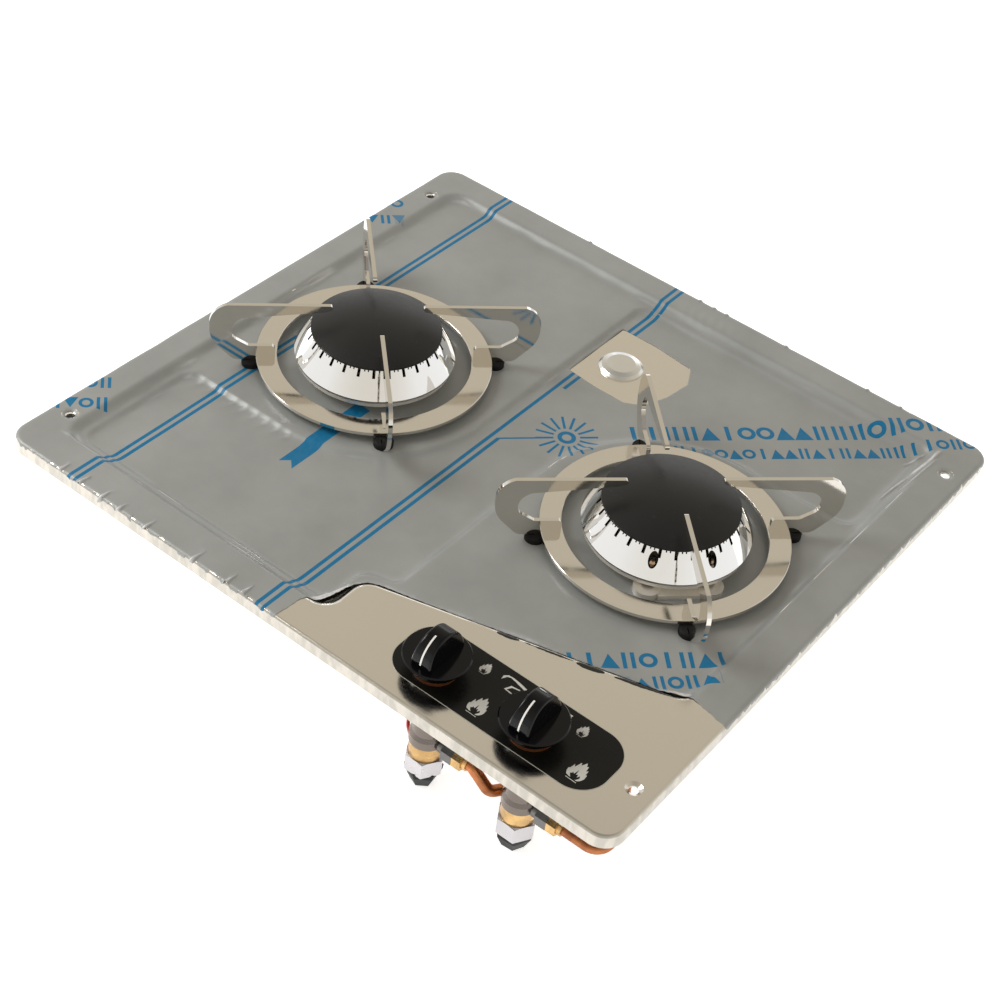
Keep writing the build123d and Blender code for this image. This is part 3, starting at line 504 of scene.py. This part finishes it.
def film_margin(u, v):
    """How far inside the film's outline a point is, in mm, negative outside it."""
    edge = box_distance(u, v, FLAT_W, FLAT_D, FLAT_CORNER)[0]
    ragged = waves(u, v, 9, 11) * 0.9 + waves(u, v, 3.2, 12) * 0.5
    front = np.clip((-v - 225) / 4, 0, 1)
    worn = np.clip((u + v * 0.3 - 60) / 80, 0, 1) + front
    reach = WRAP - (WRAP - FRONT_WRAP) * front
    margin = reach + ragged * (0.35 + np.clip(worn, 0, 1)) - edge
    cut = polygon_distance(u, v, PANEL_CUT) + waves(u, v, 5, 13) * 0.25
    margin = np.minimum(margin, cut)
    margin = np.minimum(margin, polygon_distance(u, v, PATCH_CUT))
    for burner in BURNERS.values():
        margin = np.minimum(margin, np.hypot(u - burner.x, v - burner.y) - BURNER_OPENING_R)
    for sx in (-SCREW_X, SCREW_X):
        for sy in (-SCREW_Y, SCREW_Y):
            margin = np.minimum(margin, np.hypot(u - sx, v - sy) - SCREW_OPENING_R)
    for burner in BURNERS.values():
        for k in range(4):
            turn = math.radians(45 + 90 * k)
            fx = burner.x + FOOT_REACH * math.cos(turn)
            fy = burner.y + FOOT_REACH * math.sin(turn)
            margin = np.minimum(margin, np.hypot(u - fx, v - fy) - FOOT_OPENING_R)
    return margin


def tuck_height(u, v):
    """Pinched folds that stand up along the front and back edges."""
    height = np.zeros(u.shape)
    for x0, length in TUCKS:
        along = (v + HALF_D + 2) / (length + 5)
        width = 2.3 * np.clip(1 - along, 0.02, 1)
        ridge = np.clip(1 - np.abs(u - x0 - along * 1.5) / width, 0, 1)
        height = np.maximum(height, 2.3 * ridge * np.clip(1 - along, 0, 1) ** 0.8 * (along > -1))
    for x0, length in BACK_NICKS:
        along = (HALF_D + 2 - v) / (length + 3)
        width = 3.2 * np.clip(1 - along, 0.02, 1)
        ridge = np.clip(1 - np.abs(u - x0) / width, 0, 1)
        height = np.maximum(height, 1.7 * ridge * np.clip(1 - along, 0, 1))
    return height


def crease_height(u, v):
    height = np.zeros(u.shape)
    for ax, ay, bx, by, width, rise in CREASES:
        distance, t = segment_place(u, v, ax, ay, bx, by)
        taper = np.sin(math.pi * np.clip(t * 0.94 + 0.03, 0, 1)) ** 0.6
        height = np.maximum(height, rise * taper * np.clip(1 - distance / width, 0, 1) ** 0.8)
    return height


def ripple_height(u, v):
    """Rows of small waves where the film was pushed along a pressed wall."""
    front = np.exp(-(((v + 100) / 7.5) ** 2)) * np.clip((u + 222) / 8, 0, 1) * np.clip((-112 - u) / 14, 0, 1)
    back = np.exp(-(((v - 217) / 5) ** 2)) * np.clip((u + 10) / 10, 0, 1) * np.clip((48 - u) / 18, 0, 1)
    lean = 0.25 * (v + 100)
    height = front * 0.42 * (0.5 + 0.5 * np.cos((u - lean) * 2 * math.pi / 10.2)) ** 1.6
    return height + back * 0.35 * (0.5 + 0.5 * np.cos((u + 0.5 * v) * 2 * math.pi / 8.6)) ** 1.5


def edge_lift(u, v):
    """Lifted film along the torn edge of the control panel."""
    distance = polygon_distance(u, v, PANEL_CUT)
    corner = np.exp(-(((u - 3) / 7) ** 2 + ((v + 193) / 15) ** 2))
    end = np.exp(-(((u - 212) / 9) ** 2 + ((v + 111) / 7) ** 2))
    slant = np.clip((u - 12) / 8, 0, 1) * np.clip((216 - u) / 8, 0, 1) * (v > -180)
    frill = 0.5 + 0.5 * waves(u, v, 7, 21)
    rise = corner * 2.2 + end * 1.6 + slant * (0.25 + 0.35 * frill)
    return rise * np.exp(-np.maximum(distance, 0) / 3.2)


def film_relief(heights, bridged, u, v):
    """Height of the film above a film that lies flat on the plate, in mm."""
    gap = np.maximum(heights.at(bridged, u, v) - heights.at(heights.z, u, v), 0)
    bridge = gap * (0.75 + 0.5 * waves(u, v, 38, 5))
    drift = 0.045 * (1 + waves(u, v, 46, 6)) + 0.012 * (1 + waves(u, v, 13, 7))
    ring_room = np.ones(u.shape)
    for burner in BURNERS.values():
        reach = np.hypot(u - burner.x, v - burner.y)
        ring_room = np.minimum(ring_room, np.clip((reach - 60) / 4, 0, 1))
    raised = tuck_height(u, v) + crease_height(u, v) + ripple_height(u, v) + edge_lift(u, v)
    return np.maximum(bridge, 0) + raised + drift * ring_room, raised + np.maximum(bridge, 0) * 0.5


def cell_sizes(heights, bridged):
    """Wanted film cell, as a power of two of CELL, at every smallest cell."""
    step = CELL
    u = (np.arange(COLUMNS * 2**LEVELS) + 0.5) * step - COLUMNS * 2**LEVELS * step / 2
    v = (np.arange(ROWS * 2**LEVELS) + 0.5) * step - ROWS * 2**LEVELS * step / 2
    u, v = np.meshgrid(u, v)
    size = np.full(u.shape, LEVELS)
    bend = np.abs(heights.smoothed(1.5) - heights.smoothed(3.0))
    size[heights.at(bend, u, v) > 0.035] = 1
    margin = film_margin(u, v)
    size[np.abs(margin) < 1.2] = 1
    edge = box_distance(u, v, FLAT_W, FLAT_D, FLAT_CORNER)[0]
    size[edge > -1.5] = 1
    raised = tuck_height(u, v) + crease_height(u, v) + edge_lift(u, v)
    size[raised > 0.15] = 0
    size[(ripple_height(u, v) > 0.04) & (size > 1)] = 1
    size[margin < -2] = LEVELS
    return size


def film_cells(size):
    """Square cells (column, row, width) in smallest-cell units, from coarse to fine."""
    smallest = [size]
    for _ in range(LEVELS):
        s = smallest[-1]
        smallest.append(s.reshape(s.shape[0] // 2, 2, s.shape[1] // 2, 2).min(axis=(1, 3)))
    cells = []
    waiting = [(c, r, LEVELS) for r in range(ROWS) for c in range(COLUMNS)]
    while waiting:
        c, r, level = waiting.pop()
        if level > 0 and smallest[level][r, c] < level:
            waiting += [(2 * c + i, 2 * r + j, level - 1) for i in (0, 1) for j in (0, 1)]
        else:
            cells.append((c << level, r << level, 1 << level))
    return cells


def cell_outlines(cells):
    """Corner points of every cell, with its finer neighbours' corners added."""
    points = set()
    for c, r, w in cells:
        points.update(((c, r), (c + w, r), (c + w, r + w), (c, r + w)))
    outlines = []
    for c, r, w in cells:
        walk = [(c + i, r) for i in range(w)] + [(c + w, r + i) for i in range(w)]
        walk += [(c + w - i, r + w) for i in range(w)] + [(c, r + w - i) for i in range(w)]
        outlines.append([p for p in walk if p in points])
    return outlines


def clip_outlines(outlines):
    """Keeps the part of each outline inside the film. Returns plan points and faces."""
    spots = sorted({p for outline in outlines for p in outline})
    number = {p: i for i, p in enumerate(spots)}
    plan = np.array(spots, float) * CELL
    plan -= np.array([COLUMNS, ROWS]) * 2**LEVELS * CELL / 2
    margin = film_margin(plan[:, 0], plan[:, 1])
    points = list(map(tuple, plan))
    crossings = {}
    faces = []
    for outline in outlines:
        ids = [number[p] for p in outline]
        if all(margin[i] <= 0 for i in ids):
            continue
        face = []
        for a, b in zip(ids, ids[1:] + ids[:1]):
            if margin[a] > 0:
                face.append(a)
            if (margin[a] > 0) != (margin[b] > 0):
                key = (min(a, b), max(a, b))
                if key not in crossings:
                    t = margin[a] / (margin[a] - margin[b])
                    crossings[key] = len(points)
                    points.append(tuple(plan[a] + t * (plan[b] - plan[a])))
                face.append(crossings[key])
        if len(face) > 2:
            faces.append(face)
    return np.array(points), faces


def compact(points, faces):
    """Drops the points that no face uses."""
    used = sorted({i for face in faces for i in face})
    renumber = {old: new for new, old in enumerate(used)}
    return points[used], [[renumber[i] for i in face] for face in faces]


def drape(plan, base, relief):
    """Film points in mm: flat points stand on the plate, the rest fold over its edge."""
    u, v = plan[:, 0], plan[:, 1]
    over, nx, ny = box_distance(u, v, FLAT_W, FLAT_D, FLAT_CORNER)
    turn = np.clip(over / FOLD, 0, math.pi / 2)
    hang = np.maximum(over - FOLD * math.pi / 2, 0)
    out = np.maximum(over, 0) > 0
    reach = (FOLD + relief) * np.sin(turn)
    x = np.where(out, u - nx * over + nx * reach, u)
    y = np.where(out, v - ny * over + ny * reach, v)
    folded = RIM_TOP - BEND + (FOLD + relief) * np.cos(turn) - hang
    z = np.where(out, folded, base + FILM_TOP + relief)
    return np.stack([x, y, z], 1)


def film_sheet():
    """The peel-off film as one sheet over the plate, with its folds, waves and tears."""
    tree = plate_tree()
    heights = HeightMap(tree)
    bridged = heights.smoothed(2.8)
    plan, faces = clip_outlines(cell_outlines(film_cells(cell_sizes(heights, bridged))))
    plan, faces = compact(plan, faces)
    base = cast_down(tree, plan[:, 0], plan[:, 1])
    missing = np.isnan(base)
    base[missing] = heights.at(heights.z, plan[missing, 0], plan[missing, 1])
    relief, raised = film_relief(heights, bridged, plan[:, 0], plan[:, 1])
    points = drape(plan, base, relief)
    mesh = bpy.data.meshes.new("film_sheet")
    mesh.from_pydata((points * MM).tolist(), [], faces)
    mesh.polygons.foreach_set("use_smooth", [True] * len(mesh.polygons))
    # lift also carries the painted highlight of the film material
    lift = mesh.attributes.new("lift", "FLOAT", "POINT")
    lift.data.foreach_set("value", np.clip(raised / 1.6, 0, 1).astype(np.float32))
    sheet = bpy.data.objects.new("film_sheet", mesh)
    bpy.context.scene.collection.objects.link(sheet)
    skin = sheet.modifiers.new("skin", "SOLIDIFY")
    skin.thickness = FILM_THICK * MM
    skin.offset = -1
    sheet.data.materials.append(film_material())
    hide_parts("protective_film")
    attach(sheet, "hob")
    return sheet


def stripe_ink(x, y):
    """Two pairs of ruled lines from front to back."""
    ink = (x - STRIPES[0]).abs().below(STRIPE_HALF)
    for place in STRIPES[1:3]:
        ink = ink.most((x - place).abs().below(STRIPE_HALF))
    broken = (y - 42.5).abs().below(38.5)
    last = (x - STRIPES[3]).abs().below(STRIPE_HALF)
    return ink.most(last * (broken * -1 + 1))


def lead_ink(x, y):
    """Thin line from the broken stripe towards the star."""
    (x0, y0), (x1, y1) = (STRIPES[3], 4.0), BURST
    length = math.hypot(x1 - x0, y1 - y0)
    dx, dy = (x1 - x0) / length, (y1 - y0) / length
    across = ((x - x0) * -dy + (y - y0) * dx).abs()
    along = (x - x0) * dx + (y - y0) * dy
    return across.below(0.75) * along.below(length - 12) * (along * -1).below(0.8)


def star_ink(x, y, rays=16):
    """Plain open ring with even rays."""
    dx, dy = x - BURST[0], y - BURST[1]
    radius = (dx * dx + dy * dy).math("SQRT")
    turn = dy.math("ARCTAN2", dx) * (rays / (2 * math.pi))
    off = (turn - turn.math("ROUND")).abs() * radius * (2 * math.pi / rays)
    ray = off.below(0.95) * radius.below(22.5) * (radius * -1).below(-9.5)
    return ray.most((radius - 5).abs().below(1.6))


def ribbon_ink(x, y):
    """Blue band with a notched end under the left burner."""
    across = (x + 104).abs()
    tail = (y * -1 - across).below(114.5)
    return across.below(6) * tail * y.below(-40)


def mark_ink(x, y, start, angle, height, length, seed):
    """A row of plain shapes: rings, bars, pairs of bars and wedges."""
    turn = math.radians(angle)
    u = (x - start[0]) * math.cos(turn) + (y - start[1]) * math.sin(turn)
    v = (y - start[1]) * math.cos(turn) - (x - start[0]) * math.sin(turn)
    pitch = height * 0.92
    cell = (u / pitch).math("FLOOR")
    a = u - (cell + 0.5) * pitch
    b = v - height / 2
    half = height / 2
    pick = ((cell * 12.9898 + seed * 4.1).math("SINE") * 43758.5).math("FRACT")
    ring = ((a * a + b * b).math("SQRT") - half * 0.68).abs().below(half * 0.21)
    bar = a.abs().below(half * 0.22)
    wedge = (a.abs() * 2 + b).below(half * 0.85)
    bars = (a.abs() - half * 0.42).abs().below(half * 0.2)
    shape = ring * pick.below(0.34, 0.01)
    shape = shape.most(bar * (pick - 0.45).abs().below(0.11, 0.01))
    shape = shape.most(wedge * (pick - 0.67).abs().below(0.11, 0.01))
    shape = shape.most(bars * (pick * -1).below(-0.78, 0.01))
    inside = b.abs().below(half) * (u - length / 2).abs().below(length / 2)
    return shape * inside


MARK_ROWS = (  # start, angle, height, length
    ((48, 66), 45.5, 15.0, 262),
    ((84, 74), 45.5, 11.0, 250),
    ((146, -142), 44.0, 13.5, 104),
    ((176, -140), 46.0, 11.5, 76),
    ((-230.7, 154.3), 225.0, 11.5, 36),
    ((-246, 169.9), 225.0, 11.5, 14),
    ((-229.2, -160.9), 225.0, 11.5, 36),
    ((-242.9, -144.2), 225.0, 11.5, 17),
)


def film_material():
    """Grey see-through film, milk-white where it has lifted, partly its own look and partly a painted
    highlight along the folds, with blue print.
    """
    p = Paint("grey_film", IOR=1.45, Coat_Weight=0.12, Coat_Roughness=0.2)
    x, y, _ = p.position()
    ink = stripe_ink(x, y).most(star_ink(x, y)).most(ribbon_ink(x, y)).most(lead_ink(x, y))
    for number, (start, angle, height, length) in enumerate(MARK_ROWS):
        ink = ink.most(mark_ink(x, y, start, angle, height, length, number + 1))
    lift = Num(p.tree, p.new("ShaderNodeAttribute", attribute_name="lift").outputs["Fac"])
    cloud = p.noise(14, 4, roughness=0.6)
    fine = p.noise(240, 3)
    base = p.mix(cloud.ramp(0.3, 0.7), (0.280, 0.289, 0.284), (0.340, 0.349, 0.344))
    # lifted film turns milk-white: partly the film's own look off the steel, partly painted highlight along
    # the folds
    milk_and_highlight = lift.ramp(0.2, 0.75) * fine.ramp(0.3, 0.6, 0.45, 0.95)
    base = p.mix(milk_and_highlight, base, (0.70, 0.70, 0.72))
    worn = fine.ramp(0.2, 0.75, 0.92, 1.0)
    p.set("Base Color", p.mix(ink * worn, base, (0.0, 0.150, 0.32)))
    p.set("Specular IOR Level", ink * -0.3 + 0.5)
    p.set("Roughness", cloud.ramp(0.3, 0.7, 0.36, 0.44) - lift * 0.12)
    p.set("Metallic", (ink * -1 + 1) * 0.12)
    grain = p.noise(1400, 2, (1, 0.25, 1))
    p.bump(grain * 0.4 + fine * 0.6, 0.012)
    return p.material


# ---- printed label ----

FLAMES = (  # x, y, height
    (114.6, -177.3, 9.4), (130.1, -203.8, 15.6), (188.2, -176.4, 9.4), (204.1, -202.9, 15.6),
)
FLAME = (  # outline of one flame, its height being 1
    (-0.30, -0.44), (-0.37, -0.30), (-0.39, -0.14), (-0.34, -0.12), (-0.30, 0.15), (-0.23, 0.03),
    (-0.14, 0.37), (-0.07, 0.25), (0.04, 0.50), (0.11, 0.34), (0.18, 0.37), (0.22, 0.13),
    (0.29, 0.20), (0.31, -0.01), (0.37, -0.02), (0.39, -0.22), (0.36, -0.33), (0.30, -0.43),
    (0.23, -0.49), (0.14, -0.50), (0.21, -0.39), (0.24, -0.31), (0.19, -0.21), (0.13, -0.34),
    (0.09, -0.19), (0.03, -0.26), (-0.01, 0.01), (-0.05, -0.26), (-0.14, -0.20), (-0.13, -0.26),
    (-0.20, -0.33), (-0.13, -0.42), (-0.07, -0.48), (-0.15, -0.48),
)
FLAME_FOOT = ((-0.24, -0.55), (0.26, -0.56), (0.26, -0.59), (-0.24, -0.58))
TURN_SIGN = (
    ((126.4, -178.0), (125.9, -174.8), (128.2, -172.6), (131.7, -172.3), (137.8, -173.0),
     (143.7, -174.3), (142.5, -176.0), (134.2, -174.0), (130.4, -173.4), (128.2, -174.4), (127.3, -176.5)),
    ((138.6, -183.8), (132.5, -183.2), (134.7, -178.3), (140.9, -177.5), (140.7, -178.3),
     (135.9, -179.4), (134.2, -182.6), (138.5, -183.0)),
    ((171.9, -171.7), (176.5, -171.6), (176.5, -176.3)),
)


def label_material():
    """Black screen print with a thin pale outline."""
    p = Paint("panel_print", Specular_IOR_Level=0.22)
    x, y, _ = p.position()
    low, high = corners("panel_label")
    half_w, half_d = (high.x - low.x) / 2, (high.y - low.y) / 2
    radius = 20.0
    qx = ((x - (low.x + half_w)).abs() - (half_w - radius)).most(0)
    qy = ((y - (low.y + half_d)).abs() - (half_d - radius)).most(0)
    inset = (qx * qx + qy * qy).math("SQRT") * -1 + radius
    outline = inset.below(0.35, 0.2) * 0.5
    dust = p.noise(500, 4)
    p.set("Base Color", p.mix(outline, (0.006, 0.006, 0.005), (0.80, 0.79, 0.70)))
    p.set("Roughness", dust.ramp(0.3, 0.7, 0.26, 0.36))
    p.bump(dust, 0.006)
    return p.material


def label_marks():
    """The pale flames and turning sign printed on the label."""
    height = corners("panel_label")[1].z + 0.02
    outlines = list(TURN_SIGN)
    for x, y, size in FLAMES:
        for shape in (FLAME, FLAME_FOOT):
            outlines.append([(x + a * size, y + b * size) for a, b in shape])
    points = [(x * MM, y * MM, height * MM) for outline in outlines for x, y in outline]
    faces = []
    for outline in outlines:
        first = faces[-1][-1] + 1 if faces else 0
        faces.append(list(range(first, first + len(outline))))
    mesh = bpy.data.meshes.new("label_marks")
    mesh.from_pydata(points, [], faces)
    marks = bpy.data.objects.new("label_marks", mesh)
    bpy.context.scene.collection.objects.link(marks)
    marks.data.materials.append(moulded("print_pale", (0.62, 0.61, 0.58), 0.4))
    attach(marks, "hob")


# ---- looks of the CAD nodes ----


def paint(material, *nodes):
    for node in nodes:
        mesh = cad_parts[node].data
        mesh.materials.clear()
        mesh.materials.append(material)


def pair(name):
    return [f"{name}_1", f"{name}_2"]


def shade_inside_crowns(material):
    """Painted shade in the recesses: near-black metal on the faces behind the plated cone, in the slots and
    in the probe holes.
    """
    foot_r, foot_z, lip_r = 57.5, 17.9, 45.8  # of the cone's foot and upper lip
    skin_thick = 0.35
    for n, middle in BURNERS.items():
        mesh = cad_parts[f"crown_{n}"].data
        mesh.materials.append(material)
        high = corners(f"crown_{n}")[1].z
        for face in mesh.polygons:
            at = face.center / MM
            reach = math.hypot(at.x - middle.x, at.y - middle.y)
            rise = max(0.0, at.z - foot_z) / (high - foot_z)
            skin = foot_r - rise * (foot_r - lip_r)
            face.material_index = int(reach < skin - skin_thick)


def paint_top():
    paint(plate_steel(), "hob_plate")
    paint(label_material(), "panel_label")
    paint(mirror_chrome("plug_chrome", (0.78, 0.78, 0.77), 0.12), "hole_plug")
    paint(moulded("seal_amber", (0.10, 0.030, 0.008), 0.35), "knob_seals")
    paint(foam("foam_black"), "rim_seal")
    paint(knob_gloss("knob_black"), *pair("knob"))
    paint(moulded("mark_white", (0.82, 0.81, 0.78), 0.3), *pair("pointer"))


def paint_burners():
    paint(satin_enamel("lid_enamel"), *pair("cap"))
    paint(mirror_chrome("crown_chrome"), *pair("crown"))
    # painted shade inside the crowns' slots and holes
    shade_inside_crowns(cast_metal("crown_recess_shade", (0.07, 0.055, 0.045), 0.5))
    paint(cast_metal("cup_cast", (0.96, 0.92, 0.85), 0.4, 0.05, 0.6), *pair("burner_cup"))
    paint(cast_metal("screw_zinc", (0.62, 0.62, 0.60), 0.3, 0.02), "cup_screws", "cup_nuts")
    paint(mirror_chrome("probe_steel", (0.42, 0.29, 0.18), 0.2), *pair("thermocouple"), *pair("electrode"))
    paint(white_ceramic("ceramic"), *pair("igniter"))
    paint(rolled_steel("support_bright", (0.78, 0.745, 0.69), 0.10, (1, 1, 1), 0.006), *pair("support_ring"))
    paint(rolled_steel("leg_bright", (0.74, 0.712, 0.665), 0.07, (1, 1, 9), 0.006), *pair("support_legs"))
    paint(moulded("foot_rubber", (0.006, 0.006, 0.006), 0.6, 0.03, 0.2), "support_feet")


def paint_below():
    paint(cast_metal("tap_grey", (0.22, 0.19, 0.17), 0.26, 0.04), "tap_bodies")
    paint(cast_metal("union_grey", (0.20, 0.20, 0.20), 0.35), "inlet_unions", "rear_elbow")
    paint(cast_metal("nut_zinc", (0.66, 0.65, 0.68), 0.24, 0.02), "magnet_nuts")
    turned = ("magnet_rings", "pipe_nuts", "inlet_fitting", "injectors", *pair("tap_rotor"))
    paint(brass("turned_brass"), *turned)
    paint(moulded("cap_black", (0.004, 0.005, 0.0045), 0.4, 0.01, 0.15), "magnet_caps", "microswitches")
    paint(copper("pipe_copper"), "link_pipe", "supply_pipe", "feed_pipes", "thermo_leads")
    paint(rolled_steel("bracket_zinc", (0.62, 0.62, 0.60), 0.32), "tap_bracket", "inlet_bracket")
    fixings = ("tap_glands", "tap_screws", "box_studs", "box_nuts")
    paint(cast_metal("fixing_zinc", (0.66, 0.66, 0.64), 0.28, 0.02), *fixings)
    drawn = (*pair("spindle"), *pair("tap_spring"))
    paint(rolled_steel("spindle_steel", (0.60, 0.60, 0.58), 0.25, (1, 1, 20)), *drawn)
    paint(cast_metal("holder_cast", (0.62, 0.60, 0.55), 0.4), "injector_holders")
    paint(moulded("box_grey", (0.30, 0.30, 0.29), 0.5), "spark_box")
    paint(moulded("lead_black", (0.015, 0.015, 0.015), 0.45), "spark_leads")
    paint(moulded("wire_red", (0.55, 0.020, 0.014), 0.32), "switch_wires")


# ---- studio ----


def plain_floor():
    half = 4.0
    mesh = bpy.data.meshes.new("floor")
    points = [(x * half, y * half, FLOOR_Z) for x, y in ((-1, -1), (1, -1), (1, 1), (-1, 1))]
    mesh.from_pydata(points, [], [(0, 1, 2, 3)])
    floor = bpy.data.objects.new("floor", mesh)
    bpy.context.scene.collection.objects.link(floor)
    p = Paint("floor_pale", Base_Color=(0.90, 0.90, 0.90), Roughness=0.9)
    p.set("Emission Color", (1.0, 1.0, 1.0))
    p.set("Emission Strength", 0.7)
    floor.data.materials.append(p.material)


def softbox(name, place, target, size, watts, colour=(1, 1, 1)):
    data = bpy.data.lights.new(name, "AREA")
    data.shape = "RECTANGLE"
    data.size, data.size_y = size
    data.energy = watts
    data.color = colour
    lamp = bpy.data.objects.new(name, data)
    lamp.location = place
    lamp.rotation_mode = "QUATERNION"
    lamp.rotation_quaternion = (Vector(target) - Vector(place)).to_track_quat("-Z", "Y")
    bpy.context.scene.collection.objects.link(lamp)


def room_light():
    """A pale room: white near the horizon, a warm grey wall above it, darker overhead."""
    world = bpy.data.worlds.new("room")
    world.use_nodes = True
    tree = world.node_tree
    place = tree.nodes.new("ShaderNodeTexCoord")
    parts = tree.nodes.new("ShaderNodeSeparateXYZ")
    tree.links.new(place.outputs["Generated"], parts.inputs["Vector"])
    ramp = tree.nodes.new("ShaderNodeValToRGB")
    tree.links.new(parts.outputs["Z"], ramp.inputs["Fac"])
    stops = (
        (0.0, (1.0, 1.0, 1.0)),
        (0.30, (0.95, 0.94, 0.92)),
        (0.52, (0.66, 0.60, 0.49)),
        (0.75, (0.60, 0.555, 0.46)),
        (1.0, (0.30, 0.29, 0.28)),
    )
    elements = ramp.color_ramp.elements
    for index, (at, colour) in enumerate(stops):
        element = elements[index] if index < 2 else elements.new(at)
        element.position = at
        element.color = (*colour, 1.0)
    tree.links.new(ramp.outputs["Color"], tree.nodes["Background"].inputs["Color"])
    bpy.context.scene.world = world


def studio():
    plain_floor()
    room_light()
    softbox("key", (-1.3, -0.6, 1.15), (0, 0, 0), (0.9, 0.9), 18)
    softbox("back", (-0.9, 2.6, 0.9), (0, 0, 0), (1.6, 0.5), 2)
    bpy.context.scene.view_settings.view_transform = "Standard"


def camera():
    data = bpy.data.cameras.new("camera")
    data.lens = 70.27
    data.sensor_width = 36.0
    data.clip_start = 0.05
    data.clip_end = 30
    place = Vector((0.5457, -0.8641, 0.8856))
    aim = Vector((0.0210, -0.0432, 0.0))
    roll = Quaternion((0, 0, 1), math.radians(8.22))
    eye = bpy.data.objects.new("camera", data)
    eye.location = place
    eye.rotation_mode = "QUATERNION"
    eye.rotation_quaternion = (aim - place).to_track_quat("-Z", "Y") @ roll
    bpy.context.scene.collection.objects.link(eye)
    bpy.context.scene.camera = eye


paint_top()
paint_burners()
paint_below()
film_sheet()
label_marks()
studio()
camera()
